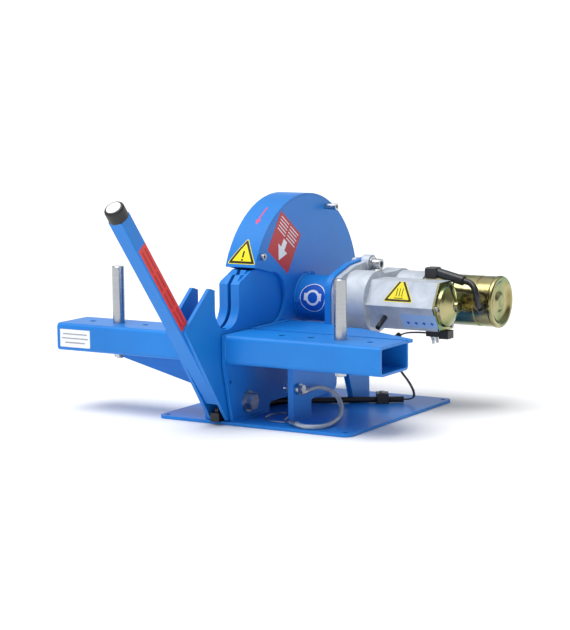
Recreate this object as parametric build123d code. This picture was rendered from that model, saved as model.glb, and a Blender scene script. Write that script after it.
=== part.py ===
from build123d import *
from math import cos, radians, sin, tan
import os

# Bench hose cutter: a hand lever swings a cradle that presses a hose into a circular knife.
# X runs along the work table towards the starter motor, Y from the operator to the back, Z up.
# The origin is the centre of the base plate's bolt pattern, on its underside.
# All sizes are in millimetres.

# Base plate
BASE_X = 350
BASE_Y = 350
BASE_T = 5
BASE_CORNER_R = 12
BOLT_PITCH_X = 326
BOLT_PITCH_Y = 326
BOLT_HOLE_D = 9

# Cutting plane and work table
BLADE_X = -61
TABLE_Z = 144
TABLE_LENGTH = 600
BEAM_FRONT_Y = -191
BEAM_DEPTH = 88
BEAM_HEIGHT = 45
BEAM_WALL = 4
BEAM_EDGE_R = 7
FIRST_HOLE = 103
HOLE_PITCH = 52
HOLE_COUNT = 4
PIN_HOLE = 2
GUSSET_T = 5
RIB_T = 6
RIB_Y = 79
RIB_DEPTH = 58

# Guide pins and their fastening
PIN_D = 20
PIN_HEIGHT = 93
STUD_D = 10
STUD_CLEARANCE = 1
PIN_WASHER_D = 20
WASHER_T = 2
PIN_NUT_FLATS = 17
PIN_NUT_T = 8

# Column, cradle and lever: stacked outwards from the cutting plane
LEVER_SIZE = 25
LEVER_WALL = 2.5
CRADLE_T = 6
RUNNING_GAP = 1.5
COLUMN_T = 6
COLUMN_REAR_Y = 139
BLADE_SLOT = 6

# Lever pivot
PIVOT_Y = -127
PIVOT_Z = 31.5
PIVOT_D = 16
PIVOT_FIT = 0.05
PIVOT_WASHER_D = 34
PIVOT_WASHER_T = 3
PIVOT_FLATS = 24
PIVOT_HEAD_T = 10
PIVOT_NUT_T = 13
BUSH_D = 26
FOOT_R = 25

# Lever tube, seen along X
LEVER_LEAN = 39
LEVER_OFFSET = 35
LEVER_FOOT = 42
LEVER_TOP = 431
CAP_D = 31
CAP_HEIGHT = 20

# Spindle, blade and guard
SPINDLE_Y = 58
SPINDLE_Z = 176
SPINDLE_D = 25
SPINDLE_FIT = 0.02
BLADE_D = 300
BLADE_T = 3
BLADE_FLANGE_D = 54
BLADE_FLANGE_T = 6
THREAD_D = 20
COLLAR_D = 33
BLADE_NUT_FLATS = 30
GUARD_R = 172
GUARD_T = 3
GUARD_SEAT = 0.2
SHELL_OVERLAP = 22
SHELL_SCREW_D = 6
HOLE_FIT = 0.4
GUARD_FRONT_ANGLE = 158
GUARD_REAR_ANGLE = -45
TIE_BOLT_R = 160
TIE_BOLT_D = 6
TIE_BOLT_ANGLES = (150, 65)
TIE_STAND_OFF = 14
SPACER_D = 10

# Bay in the column plates that the cradle fills at rest, and the cradle's own outline
BAY_Y = -50
BAY_Z = 187
BAY_R = 41.5
CRADLE_TAIL_Y = -39
CRADLE_TAIL_Z = 185
CRADLE_TAIL_R = 39
BLOCK_BACK_Y = -62
NOTCH_Y = -171
NOTCH_Z = 185
NOTCH_R = 34.5

# Motor bracket and bearing tube
BRACKET_T = 10
BRACKET_X = 37
TUBE_D = 76
BEARING_D = 52
BEARING_WIDTH = 15
BEARING_INSET = 8
TUBE_SCREW_D = 8
TUBE_SCREW_PROUD = 5
TUBE_SCREW_ANGLES = (75, 180, 300)
NOSE_BORE_D = 60
EAR_BOLT_D = 12
EAR_BOLT_FIT = 0.5
EAR_BOSS_D = 30
EAR_BOSS_T = 4
EAR_OFFSET = (51, 55)

# Starter motor
MOTOR_OFFSET = 86
FLANGE_T = 10
DRUM_R = 50
DRUM_END_X = 99
HEX_R = 44.5
HEX_END_X = 219
YOKE_R = 41
YOKE_START_X = 149
YOKE_END_X = 271
CAP_LENGTH = 8
LOBE_START = 22
SHELL_T = 4
CASE_END_T = 2
DRIVE_GEAR_R = 36
IDLER_R = 18
IDLER_PIN_D = 8
IDLER_PIN_FIT = 0.1
GEAR_GAP = 0.5
GEAR_WIDTH = 14

# Switch under the lever's foot
SWITCH_Y = -170
SWITCH_HEIGHT = 14
BUTTON_SIZE = 6
BUTTON_GAP = 0.3
BUTTON_DEPTH = 4
BUTTON_TRAVEL = 3

# Conduit and cords
CONDUIT_D = 11
CONDUIT_BORE = 7.5
CONDUIT_BEND_R = 60
CLAMP_PLACE = (90, 87.6)
CLAMP_TURN = 31.5
CLAMP_HEIGHT = 17
WIRE_D = 2.4
LEAD_D = 10
TETHER_D = 7.4
FERRULE_LENGTH = 21
TETHER_BOLT_D = 8
TETHER_BOLT_FLATS = 13
EYE_T = 6
RING_WIRE_D = 2

# Share of the shorter run that a cord's arc takes, and a reach beyond the whole machine
CORNER = 0.45
FAR = 900

# Places that follow from the sizes above
CRADLE_IN = LEVER_SIZE / 2
CRADLE_OUT = CRADLE_IN + CRADLE_T
COLUMN_IN = CRADLE_OUT + RUNNING_GAP
COLUMN_OUT = COLUMN_IN + COLUMN_T
COLUMN_LEFT = BLADE_X - COLUMN_OUT
COLUMN_RIGHT = BLADE_X + COLUMN_OUT
BEAM_BOTTOM_Z = TABLE_Z - BEAM_HEIGHT
BEAM_BACK_Y = BEAM_FRONT_Y + BEAM_DEPTH
BEAM_MID_Y = BEAM_FRONT_Y + BEAM_DEPTH / 2
TABLE_LEFT = BLADE_X - TABLE_LENGTH / 2
TABLE_RIGHT = BLADE_X + TABLE_LENGTH / 2
BRACKET_END = BRACKET_X + BRACKET_T
MOTOR_Y = SPINDLE_Y + MOTOR_OFFSET
PINION_R = MOTOR_OFFSET - DRIVE_GEAR_R - 2 * IDLER_R
HEX_FLAT = HEX_R * cos(radians(30))
PIN_XS = [BLADE_X + side * (FIRST_HOLE + PIN_HOLE * HOLE_PITCH) for side in (-1, 1)]


def plate_yz(points, radii, x_from, thickness):
    """Plate across X, from an outline of (y, z) corners, each with its own rounding."""
    outline = FilletPolyline(*points, radius=radii, close=True)
    return Pos(x_from, 0, 0) * extrude(Plane.YZ * make_face(outline), amount=thickness)


def rod_x(diameter, x_from, x_to, y, z):
    """Cylinder along X."""
    middle = (x_from + x_to) / 2
    return Pos(middle, y, z) * Rot(0, 90, 0) * Cylinder(diameter / 2, x_to - x_from)


def rod_z(diameter, x, y, z_from, z_to):
    """Cylinder along Z."""
    return Pos(x, y, (z_from + z_to) / 2) * Cylinder(diameter / 2, z_to - z_from)


def hex_x(across_flats, x_from, x_to, y, z, turn=0):
    """Hexagonal bar along X."""
    profile = Pos(y, z) * Rot(0, 0, turn) * RegularPolygon(across_flats / 2, 6, major_radius=False)
    return Pos(x_from, 0, 0) * extrude(Plane.YZ * profile, amount=x_to - x_from)


def hex_z(across_flats, x, y, z_from, z_to):
    """Hexagonal bar along Z."""
    profile = RegularPolygon(across_flats / 2, 6, major_radius=False)
    return Pos(x, y, z_from) * extrude(profile, amount=z_to - z_from)


def block(x_from, x_to, y_from, y_to, z_from, z_to):
    """Box between two opposite corners."""
    size = (x_to - x_from, y_to - y_from, z_to - z_from)
    return Pos((x_from + x_to) / 2, (y_from + y_to) / 2, (z_from + z_to) / 2) * Box(*size)


def tube_along(path, diameter):
    """Round solid that follows a path."""
    section = Plane(origin=path @ 0, z_dir=path % 0) * Circle(diameter / 2)
    return sweep(section, path=path)


def soft_path(points):
    """Path of straight runs and the largest tangent arcs that the runs allow."""
    spots = [Vector(*point) for point in points]
    radii = []
    for before, here, after in zip(spots, spots[1:], spots[2:]):
        turn = (here - before).get_angle(after - here)
        shorter = min((here - before).length, (after - here).length)
        radii.append(CORNER * shorter / tan(radians(turn / 2)))
    print("cord radii", [round(radius) for radius in radii])
    return FilletPolyline(*spots, radius=radii)


def around_spindle(radius, angle):
    """Point (y, z) on a circle about the spindle, the angle measured from the back upwards."""
    return (SPINDLE_Y + radius * cos(radians(angle)), SPINDLE_Z + radius * sin(radians(angle)))


# Frame

def make_base_plate():
    plate = Pos(0, 0, BASE_T / 2) * Box(BASE_X, BASE_Y, BASE_T)
    plate = fillet(plate.edges().filter_by(Axis.Z), BASE_CORNER_R)
    for x in (-BOLT_PITCH_X / 2, BOLT_PITCH_X / 2):
        for y in (-BOLT_PITCH_Y / 2, BOLT_PITCH_Y / 2):
            plate -= rod_z(BOLT_HOLE_D, x, y, -1, BASE_T + 1)
    return plate


def bay_cut(x_from, thickness):
    """Opening above the table at the front of a column plate, where the cradle lies at rest."""
    corners = [
        (BAY_Y, BAY_Z - BAY_R),
        (BAY_Y, BAY_Z + BAY_R),
        around_spindle(GUARD_R, GUARD_FRONT_ANGLE),
        (SPINDLE_Y - 2 * GUARD_R, around_spindle(GUARD_R, GUARD_FRONT_ANGLE)[1]),
        (SPINDLE_Y - 2 * GUARD_R, BAY_Z - BAY_R),
    ]
    front = plate_yz(corners, [0] * len(corners), x_from, thickness)
    return front + rod_x(2 * BAY_R, x_from, x_from + thickness, BAY_Y, BAY_Z)


def column_blank(x_from):
    """Column plate with the guard's disc, before the right and left plates differ."""
    foot_front_y = BEAM_FRONT_Y + 21.5
    corners = [
        (BEAM_FRONT_Y, TABLE_Z),
        (BEAM_FRONT_Y, BEAM_BOTTOM_Z - 4),
        (foot_front_y, BASE_T),
        (COLUMN_REAR_Y, BASE_T),
        (COLUMN_REAR_Y, TABLE_Z),
    ]
    body = plate_yz(corners, [0] * len(corners), x_from, COLUMN_T)
    disc_r = GUARD_R - GUARD_T - GUARD_SEAT
    disc = rod_x(2 * disc_r, x_from, x_from + COLUMN_T, SPINDLE_Y, SPINDLE_Z)
    below = block(x_from - 1, x_from + COLUMN_T + 1, -FAR, FAR, -FAR, BASE_T)
    plate = body + (disc - below)
    return plate - rod_x(PIVOT_D + 2 * PIVOT_FIT, x_from - 1, x_from + COLUMN_T + 1, PIVOT_Y, PIVOT_Z)


def make_column_plate_right():
    x_from = BLADE_X + COLUMN_IN
    plate = column_blank(x_from) - bay_cut(x_from - 1, COLUMN_T + 2)
    plate -= rod_x(BEARING_D, x_from - 1, x_from + COLUMN_T + 1, SPINDLE_Y, SPINDLE_Z)
    plate -= rod_x(6.5, x_from - 1, x_from + COLUMN_T + 1, BEAM_FRONT_Y + 15, BEAM_BOTTOM_Z - 30)
    cable_way = [(-62, BASE_T - 1), (-62, BASE_T + 15), (28, BASE_T + 15), (28, BASE_T - 1)]
    plate -= plate_yz(cable_way, [0, 7, 7, 0], x_from - 1, COLUMN_T + 2)
    for angle in TIE_BOLT_ANGLES:
        y, z = around_spindle(TIE_BOLT_R, angle)
        plate -= rod_x(TIE_BOLT_D + HOLE_FIT, x_from - 1, x_from + COLUMN_T + 1, y, z)
    return plate


def make_column_plate_left():
    plate = column_blank(COLUMN_LEFT)
    above = block(COLUMN_LEFT - 1, COLUMN_LEFT + COLUMN_T + 1, -FAR, FAR, TABLE_Z, FAR)
    return plate - above


def make_column_rear_tie():
    """Bar that ties the two column plates at the back, below the chip outlet."""
    left = BLADE_X - COLUMN_IN
    return block(left, left + 2 * COLUMN_IN, COLUMN_REAR_Y - 10, COLUMN_REAR_Y, BASE_T, BASE_T + 14)


def beam(x_from, x_to):
    """Rectangular tube with rounded long edges, drilled for the guide pins."""
    outer = block(x_from, x_to, BEAM_FRONT_Y, BEAM_BACK_Y, BEAM_BOTTOM_Z, TABLE_Z)
    outer = fillet(outer.edges().filter_by(Axis.X), BEAM_EDGE_R)
    inner = block(
        x_from - 1, x_to + 1, BEAM_FRONT_Y + BEAM_WALL, BEAM_BACK_Y - BEAM_WALL,
        BEAM_BOTTOM_Z + BEAM_WALL, TABLE_Z - BEAM_WALL,
    )
    inner = fillet(inner.edges().filter_by(Axis.X), BEAM_EDGE_R - BEAM_WALL)
    tube = outer - inner
    side = 1 if x_to > BLADE_X else -1
    for number in range(HOLE_COUNT):
        x = BLADE_X + side * (FIRST_HOLE + number * HOLE_PITCH)
        hole = rod_z(STUD_D + STUD_CLEARANCE, x, BEAM_MID_Y, BEAM_BOTTOM_Z - 1, TABLE_Z + 1)
        if number != PIN_HOLE:
            hole = rod_z(STUD_D + STUD_CLEARANCE, x, BEAM_MID_Y, TABLE_Z - BEAM_WALL - 1, TABLE_Z + 1)
        tube -= hole
    return tube


def make_table_gusset():
    """Flat plate behind the right beam, flush with the table, notched round the motor bracket."""
    inner_back_y = SPINDLE_Y - 49
    corners = [
        (COLUMN_RIGHT, BEAM_BACK_Y),
        (TABLE_RIGHT, BEAM_BACK_Y),
        (TABLE_RIGHT + 1, BEAM_BACK_Y + 13),
        (TABLE_RIGHT - 126, BEAM_BACK_Y + 78),
        (BRACKET_END + 38, BEAM_BACK_Y + 78),
        (BRACKET_END, SPINDLE_Y - 65),
        (BRACKET_X, SPINDLE_Y - 65),
        (BRACKET_X, inner_back_y),
        (COLUMN_RIGHT, inner_back_y),
    ]
    outline = Polyline(*corners, close=True)
    return Pos(0, 0, TABLE_Z - GUSSET_T) * extrude(make_face(outline), amount=GUSSET_T)


def make_beam_rib():
    """Triangular rib between the underside of the left beam and the left column plate."""
    y = BEAM_FRONT_Y + RIB_Y
    corners = [
        (COLUMN_LEFT, BEAM_BOTTOM_Z),
        (COLUMN_LEFT, BEAM_BOTTOM_Z - RIB_DEPTH + 12),
        (COLUMN_LEFT - 26, BEAM_BOTTOM_Z - RIB_DEPTH),
        (TABLE_LEFT + 24, BEAM_BOTTOM_Z - 3),
        (TABLE_LEFT + 20, BEAM_BOTTOM_Z),
    ]
    face = Plane.XZ * make_face(Polyline(*corners, close=True))
    return Pos(0, y, 0) * extrude(face, amount=RIB_T)


def make_motor_bracket():
    """Thick plate that carries the starter, with an arch below the table for the conduit."""
    front_y = BEAM_FRONT_Y + 68
    flange_front_y = SPINDLE_Y - 65
    corners = [
        (front_y, BASE_T),
        (front_y, BEAM_BOTTOM_Z),
        (BEAM_BACK_Y, BEAM_BOTTOM_Z),
        (BEAM_BACK_Y, TABLE_Z - GUSSET_T),
        (flange_front_y, TABLE_Z - GUSSET_T),
        (flange_front_y, SPINDLE_Z + 40),
        (SPINDLE_Y + 1, SPINDLE_Z + 60),
        (SPINDLE_Y + 81, SPINDLE_Z + 67),
        (SPINDLE_Y + 81, SPINDLE_Z - 46),
        (SPINDLE_Y + 64, SPINDLE_Z - 66),
        (SPINDLE_Y + 64, BASE_T),
    ]
    radii = [0, 0, 0, 0, 0, 32, 60, 20, 10, 10, 0]
    plate = plate_yz(corners, radii, BRACKET_X, BRACKET_T)
    arch = [
        (front_y + 55, BASE_T - 1),
        (front_y + 55, BASE_T + 27),
        (SPINDLE_Y - 46, BASE_T + 32),
        (SPINDLE_Y - 42, BASE_T + 84),
        (SPINDLE_Y - 14, BASE_T + 84),
        (SPINDLE_Y - 5, BASE_T + 46),
        (SPINDLE_Y + 13, BASE_T - 1),
    ]
    plate -= plate_yz(arch, [0, 3, 11, 12, 12, 30, 0], BRACKET_X - 1, BRACKET_T + 2)
    plate -= rod_x(NOSE_BORE_D, BRACKET_X - 1, BRACKET_END + 1, SPINDLE_Y, SPINDLE_Z)
    for y, z in flange_bolt_places():
        plate -= rod_x(EAR_BOLT_D + EAR_BOLT_FIT, BRACKET_X - 1, BRACKET_END + 1, y, z)
    tether_y, tether_z = tether_place()
    return plate - rod_x(TETHER_BOLT_D + HOLE_FIT, BRACKET_X - 1, BRACKET_END + 1, tether_y, tether_z)


def flange_bolt_places():
    """Two ears on opposite sides of the starter's nose."""
    back, up = EAR_OFFSET
    return [(SPINDLE_Y + back, SPINDLE_Z + up), (SPINDLE_Y - back, SPINDLE_Z - up)]


def tether_place():
    return (BEAM_FRONT_Y + 80.5, BEAM_BOTTOM_Z - 44)


def make_bearing_tube():
    outer = rod_x(TUBE_D, COLUMN_RIGHT, BRACKET_X, SPINDLE_Y, SPINDLE_Z)
    tube = outer - rod_x(BEARING_D, COLUMN_RIGHT - 1, BRACKET_X + 1, SPINDLE_Y, SPINDLE_Z)
    for angle in TUBE_SCREW_ANGLES:
        tube -= tube_screw(angle)
    return tube


def tube_screw(angle):
    """Locking screw that stands radially in the bearing tube, beside the cheek."""
    tip = BEARING_D / 2 + 0.5
    length = TUBE_D / 2 + TUBE_SCREW_PROUD - tip
    screw = Pos(0, 0, tip + length / 2) * Cylinder(TUBE_SCREW_D / 2, length)
    return Pos(COLUMN_RIGHT + 7, SPINDLE_Y, SPINDLE_Z) * Rot(angle - 90, 0, 0) * screw


def make_tube_screws():
    return [tube_screw(angle) for angle in TUBE_SCREW_ANGLES]


def make_guard_shell():
    """Rolled rim with the left cheek in one piece, open at the bottom."""
    outer_left = COLUMN_LEFT - GUARD_T
    ring = rod_x(2 * GUARD_R, outer_left, COLUMN_RIGHT, SPINDLE_Y, SPINDLE_Z)
    ring -= rod_x(2 * (GUARD_R - GUARD_T), outer_left - 1, COLUMN_RIGHT + 1, SPINDLE_Y, SPINDLE_Z)
    reach = 3 * GUARD_R
    gap = [
        (SPINDLE_Y, SPINDLE_Z),
        around_spindle(reach, GUARD_REAR_ANGLE),
        (SPINDLE_Y, SPINDLE_Z - reach),
        (SPINDLE_Y - reach, SPINDLE_Z - reach),
        around_spindle(reach, GUARD_FRONT_ANGLE),
    ]
    rim = ring - plate_yz(gap, [0] * len(gap), outer_left - 1, COLUMN_RIGHT - outer_left + 2)
    cheek = rod_x(2 * GUARD_R, outer_left, COLUMN_LEFT, SPINDLE_Y, SPINDLE_Z)
    cheek -= bay_cut(outer_left - 1, GUARD_T + 2)
    cheek -= block(outer_left - 1, COLUMN_LEFT + 1, -FAR, FAR, -FAR, TABLE_Z - SHELL_OVERLAP)
    cheek -= block(outer_left - 1, COLUMN_LEFT + 1, -FAR, BAY_Y, -FAR, BAY_Z)
    shell = rim + cheek
    for angle in TIE_BOLT_ANGLES:
        y, z = around_spindle(TIE_BOLT_R, angle)
        shell -= rod_x(TIE_BOLT_D + HOLE_FIT, outer_left - 1, COLUMN_LEFT + 1, y, z)
    for y, z in shell_screw_places():
        shell -= rod_x(SHELL_SCREW_D + HOLE_FIT, outer_left - 1, COLUMN_LEFT + 1, y, z)
    return shell


def shell_screw_places():
    z = TABLE_Z - SHELL_OVERLAP / 2
    return [(BAY_Y + 30, z), (SPINDLE_Y + 110, z)]


def make_shell_screws():
    """Two screws that hold the shell's left cheek to the left column plate."""
    screws = []
    for y, z in shell_screw_places():
        left = COLUMN_LEFT - GUARD_T
        head = rod_x(2 * SHELL_SCREW_D, left - 3.5, left, y, z)
        screws.append(head + rod_x(SHELL_SCREW_D, left, COLUMN_LEFT, y, z))
    return screws


def make_tie_bolts():
    """Bolts through both cheeks; the rear one stands off the right cheek on a collar."""
    bolts = []
    for angle, stand_off in zip(TIE_BOLT_ANGLES, (0, TIE_STAND_OFF)):
        y, z = around_spindle(TIE_BOLT_R, angle)
        left = COLUMN_LEFT - GUARD_T
        shank = rod_x(TIE_BOLT_D, left - 7, COLUMN_RIGHT + stand_off, y, z)
        head = rod_x(11, COLUMN_RIGHT + stand_off, COLUMN_RIGHT + stand_off + 6, y, z)
        head -= hex_x(5, COLUMN_RIGHT + stand_off + 2.5, COLUMN_RIGHT + stand_off + 7, y, z)
        bolts.append(shank + head + hex_x(10, left - 5.5, left - 0.5, y, z))
    return bolts


def make_tie_spacers():
    """Tubes between the cheeks on the tie bolts, and the collar outside the right cheek."""
    spacers = []
    for angle in TIE_BOLT_ANGLES:
        y, z = around_spindle(TIE_BOLT_R, angle)
        bore = rod_x(TIE_BOLT_D + HOLE_FIT, COLUMN_LEFT - 1, COLUMN_RIGHT + TIE_STAND_OFF + 1, y, z)
        spacers.append(rod_x(SPACER_D, COLUMN_LEFT, BLADE_X + COLUMN_IN, y, z) - bore)
    y, z = around_spindle(TIE_BOLT_R, TIE_BOLT_ANGLES[-1])
    collar = rod_x(SPACER_D, COLUMN_RIGHT, COLUMN_RIGHT + TIE_STAND_OFF, y, z)
    spacers.append(collar - rod_x(TIE_BOLT_D + HOLE_FIT, COLUMN_RIGHT - 1, COLUMN_RIGHT + 30, y, z))
    return spacers


# Guide pins

def guide_pin(x):
    """Smooth pin on the table, with its stud through the beam."""
    pin = rod_z(PIN_D, x, BEAM_MID_Y, TABLE_Z, TABLE_Z + PIN_HEIGHT)
    pin = chamfer(pin.edges().group_by(Axis.Z)[-1], 1)
    return pin + rod_z(STUD_D, x, BEAM_MID_Y, BEAM_BOTTOM_Z - 12, TABLE_Z)


def make_pin_nuts():
    """A washer and a nut under the beam for each pin."""
    pieces = []
    for x in PIN_XS:
        top = BEAM_BOTTOM_Z
        bore = rod_z(STUD_D, x, BEAM_MID_Y, top - 20, top + 1)
        pieces.append(rod_z(PIN_WASHER_D, x, BEAM_MID_Y, top - WASHER_T, top) - bore)
        nut_top = top - WASHER_T
        pieces.append(hex_z(PIN_NUT_FLATS, x, BEAM_MID_Y, nut_top - PIN_NUT_T, nut_top) - bore)
    return pieces


# Lever and cradle

def lever_point(along, across):
    """Point (y, z) in the lever's own directions, from the pivot: up along it and back across it."""
    lean = radians(LEVER_LEAN)
    y = PIVOT_Y - along * sin(lean) + across * cos(lean)
    z = PIVOT_Z + along * cos(lean) + across * sin(lean)
    return (y, z)


def notch_cut(x_from, thickness):
    """U-notch that holds the hose."""
    top = NOTCH_Z + 200
    slot = block(x_from, x_from + thickness, NOTCH_Y - NOTCH_R, NOTCH_Y + NOTCH_R, NOTCH_Z, top)
    return slot + rod_x(2 * NOTCH_R, x_from, x_from + thickness, NOTCH_Y, NOTCH_Z)


def cradle_plate(x_from):
    corners = [
        (PIVOT_Y - 47, PIVOT_Z - FOOT_R),
        (-288, 162.5),
        (NOTCH_Y - NOTCH_R - 14, NOTCH_Z + 35),
        (NOTCH_Y - NOTCH_R + 2, NOTCH_Z + 30),
        (NOTCH_Y, NOTCH_Z),
        (NOTCH_Y + NOTCH_R - 2, NOTCH_Z + 30),
        (NOTCH_Y + NOTCH_R + 4, NOTCH_Z + 36),
        (CRADLE_TAIL_Y - 58, CRADLE_TAIL_Z + 51),
        (CRADLE_TAIL_Y - 16, CRADLE_TAIL_Z + 52),
        (CRADLE_TAIL_Y + CRADLE_TAIL_R, CRADLE_TAIL_Z + 24),
        (CRADLE_TAIL_Y + CRADLE_TAIL_R, CRADLE_TAIL_Z - CRADLE_TAIL_R),
        (PIVOT_Y + FOOT_R, PIVOT_Z + 8),
        (PIVOT_Y + FOOT_R, PIVOT_Z - FOOT_R),
    ]
    radii = [2, 5, 3, 0, 0, 0, 4, 12, 40, 30, 34, 20, FOOT_R - 1]
    plate = plate_yz(corners, radii, x_from, CRADLE_T)
    plate -= notch_cut(x_from - 1, CRADLE_T + 2)
    return plate - rod_x(BUSH_D, x_from - 1, x_from + CRADLE_T + 1, PIVOT_Y, PIVOT_Z)


def guide_block(x_from, x_to):
    """Thick block inside a cradle plate, beside the blade slot, that backs the hose."""
    corners = [
        (NOTCH_Y + 8, NOTCH_Z - NOTCH_R - 22),
        (NOTCH_Y + 8, NOTCH_Z),
        (NOTCH_Y + NOTCH_R - 2, NOTCH_Z + 30),
        (NOTCH_Y + NOTCH_R + 14, NOTCH_Z + 45),
        (NOTCH_Y + NOTCH_R + 26, NOTCH_Z + 45),
        (NOTCH_Y + NOTCH_R + 30, NOTCH_Z + 52),
        (BLOCK_BACK_Y, CRADLE_TAIL_Z + 39),
        (BLOCK_BACK_Y, CRADLE_TAIL_Z - CRADLE_TAIL_R - 12),
    ]
    radii = [0, 0, 0, 3, 2, 2, 10, 10]
    piece = plate_yz(corners, radii, x_from, x_to - x_from)
    return piece - notch_cut(x_from - 1, x_to - x_from + 2)


def make_guide_blocks():
    slot = BLADE_SLOT / 2
    return [
        guide_block(BLADE_X - CRADLE_IN, BLADE_X - slot),
        guide_block(BLADE_X + slot, BLADE_X + CRADLE_IN),
    ]


def lever_bar(size, along_from, along_to):
    """Square bar along the lever."""
    corners = [
        lever_point(along_from, -LEVER_OFFSET - size / 2),
        lever_point(along_to, -LEVER_OFFSET - size / 2),
        lever_point(along_to, -LEVER_OFFSET + size / 2),
        lever_point(along_from, -LEVER_OFFSET + size / 2),
    ]
    radius = 2 if size == LEVER_SIZE else 0
    bar = plate_yz(corners, [0] * 4, BLADE_X - size / 2, size)
    if radius:
        direction = Vector(0, -sin(radians(LEVER_LEAN)), cos(radians(LEVER_LEAN)))
        long_edges = [edge for edge in bar.edges() if abs((edge % 0.5).dot(direction)) > 0.999]
        bar = fillet(long_edges, radius)
    return bar


def make_lever_tube():
    hollow = lever_bar(LEVER_SIZE - 2 * LEVER_WALL, LEVER_FOOT - 5, LEVER_TOP + 5)
    return lever_bar(LEVER_SIZE, LEVER_FOOT, LEVER_TOP) - hollow


def make_lever_cap():
    """Round plastic cap pushed into the top of the lever tube."""
    y, z = lever_point(LEVER_TOP, -LEVER_OFFSET)
    place = Pos(BLADE_X, y, z) * Rot(LEVER_LEAN, 0, 0)
    knob = Pos(0, 0, CAP_HEIGHT / 2) * Cylinder(CAP_D / 2, CAP_HEIGHT)
    knob = fillet(knob.edges().group_by(Axis.Z)[-1], 4)
    inner = LEVER_SIZE - 2 * LEVER_WALL - 0.2
    plug = Pos(0, 0, -8) * Box(inner, inner, 16)
    return place * (knob + plug)


def make_pivot_bush():
    """Bush welded across the cradle's feet; it turns on the pivot bolt."""
    bush = rod_x(BUSH_D, BLADE_X - CRADLE_OUT, BLADE_X + CRADLE_OUT, PIVOT_Y, PIVOT_Z)
    bore = rod_x(PIVOT_D + 2 * PIVOT_FIT, BLADE_X - 50, BLADE_X + 50, PIVOT_Y, PIVOT_Z)
    return bush - bore


def make_pivot_bolt():
    left = COLUMN_LEFT - PIVOT_WASHER_T
    seat = COLUMN_RIGHT + PIVOT_WASHER_T
    shank = rod_x(PIVOT_D, left - PIVOT_NUT_T - 3, seat, PIVOT_Y, PIVOT_Z)
    return shank + hex_x(PIVOT_FLATS, seat, seat + PIVOT_HEAD_T, PIVOT_Y, PIVOT_Z)


def make_pivot_washers():
    bore = rod_x(PIVOT_D, COLUMN_LEFT - 20, COLUMN_RIGHT + 20, PIVOT_Y, PIVOT_Z)
    right = rod_x(PIVOT_WASHER_D, COLUMN_RIGHT, COLUMN_RIGHT + PIVOT_WASHER_T, PIVOT_Y, PIVOT_Z)
    left = rod_x(PIVOT_WASHER_D, COLUMN_LEFT - PIVOT_WASHER_T, COLUMN_LEFT, PIVOT_Y, PIVOT_Z)
    return [right - bore, left - bore]


def make_pivot_nut():
    left = COLUMN_LEFT - PIVOT_WASHER_T
    nut = hex_x(PIVOT_FLATS, left - PIVOT_NUT_T, left, PIVOT_Y, PIVOT_Z)
    return nut - rod_x(PIVOT_D, left - PIVOT_NUT_T - 7, left + 1, PIVOT_Y, PIVOT_Z)


# Spindle and blade

def make_spindle():
    """Shaft with the blade's seat on the left and the drive coupling on the right."""
    shoulder = BLADE_X - BLADE_T / 2 - BLADE_FLANGE_T
    shaft = rod_x(SPINDLE_D, shoulder, BRACKET_X + 2, SPINDLE_Y, SPINDLE_Z)
    shaft += rod_x(THREAD_D, shoulder - 11, shoulder, SPINDLE_Y, SPINDLE_Z)
    first, second = bearing_places()
    collar = rod_x(COLLAR_D, first + BEARING_WIDTH, second, SPINDLE_Y, SPINDLE_Z)
    coupling = rod_x(40, BRACKET_X + 2, BRACKET_END + 8, SPINDLE_Y, SPINDLE_Z)
    return shaft + collar + coupling


def make_blade():
    """Disc knife with a bevelled edge."""
    half = BLADE_T / 2
    rim = BLADE_D / 2
    profile = Polyline(
        (0, -half), (rim - 9, -half), (rim, 0), (rim - 9, half), (0, half), close=True,
    )
    disc = revolve(Plane.XZ * make_face(profile), Axis.Z)
    disc -= Cylinder(SPINDLE_D / 2 + SPINDLE_FIT, 20)
    return Pos(BLADE_X, SPINDLE_Y, SPINDLE_Z) * Rot(0, 90, 0) * disc


def make_blade_flanges():
    """A flange on each side of the blade, and the sleeve between the right one and its bearing."""
    half = BLADE_T / 2
    bore = rod_x(SPINDLE_D + 2 * SPINDLE_FIT, BLADE_X - 60, BLADE_X + 60, SPINDLE_Y, SPINDLE_Z)
    seat = BLADE_X + half + BLADE_FLANGE_T
    right = rod_x(BLADE_FLANGE_D, BLADE_X + half, seat, SPINDLE_Y, SPINDLE_Z)
    sleeve = rod_x(COLLAR_D, seat, COLUMN_RIGHT + BEARING_INSET, SPINDLE_Y, SPINDLE_Z)
    left = rod_x(BLADE_FLANGE_D, BLADE_X - half - BLADE_FLANGE_T, BLADE_X - half, SPINDLE_Y, SPINDLE_Z)
    return [right - bore, sleeve - bore, left - bore]


def make_blade_nut():
    start = BLADE_X - BLADE_T / 2 - BLADE_FLANGE_T
    nut = hex_x(BLADE_NUT_FLATS, start - 9, start, SPINDLE_Y, SPINDLE_Z)
    return nut - rod_x(THREAD_D, start - 20, start + 1, SPINDLE_Y, SPINDLE_Z)


def bearing_places():
    return (COLUMN_RIGHT + BEARING_INSET, BRACKET_X - BEARING_INSET - BEARING_WIDTH)


def make_spindle_bearings():
    bearings = []
    for x_from in bearing_places():
        ring = rod_x(BEARING_D, x_from, x_from + BEARING_WIDTH, SPINDLE_Y, SPINDLE_Z)
        bore = rod_x(SPINDLE_D + 2 * SPINDLE_FIT, x_from - 1, x_from + 20, SPINDLE_Y, SPINDLE_Z)
        bearings.append(ring - bore)
    return bearings


# Starter motor

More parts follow.
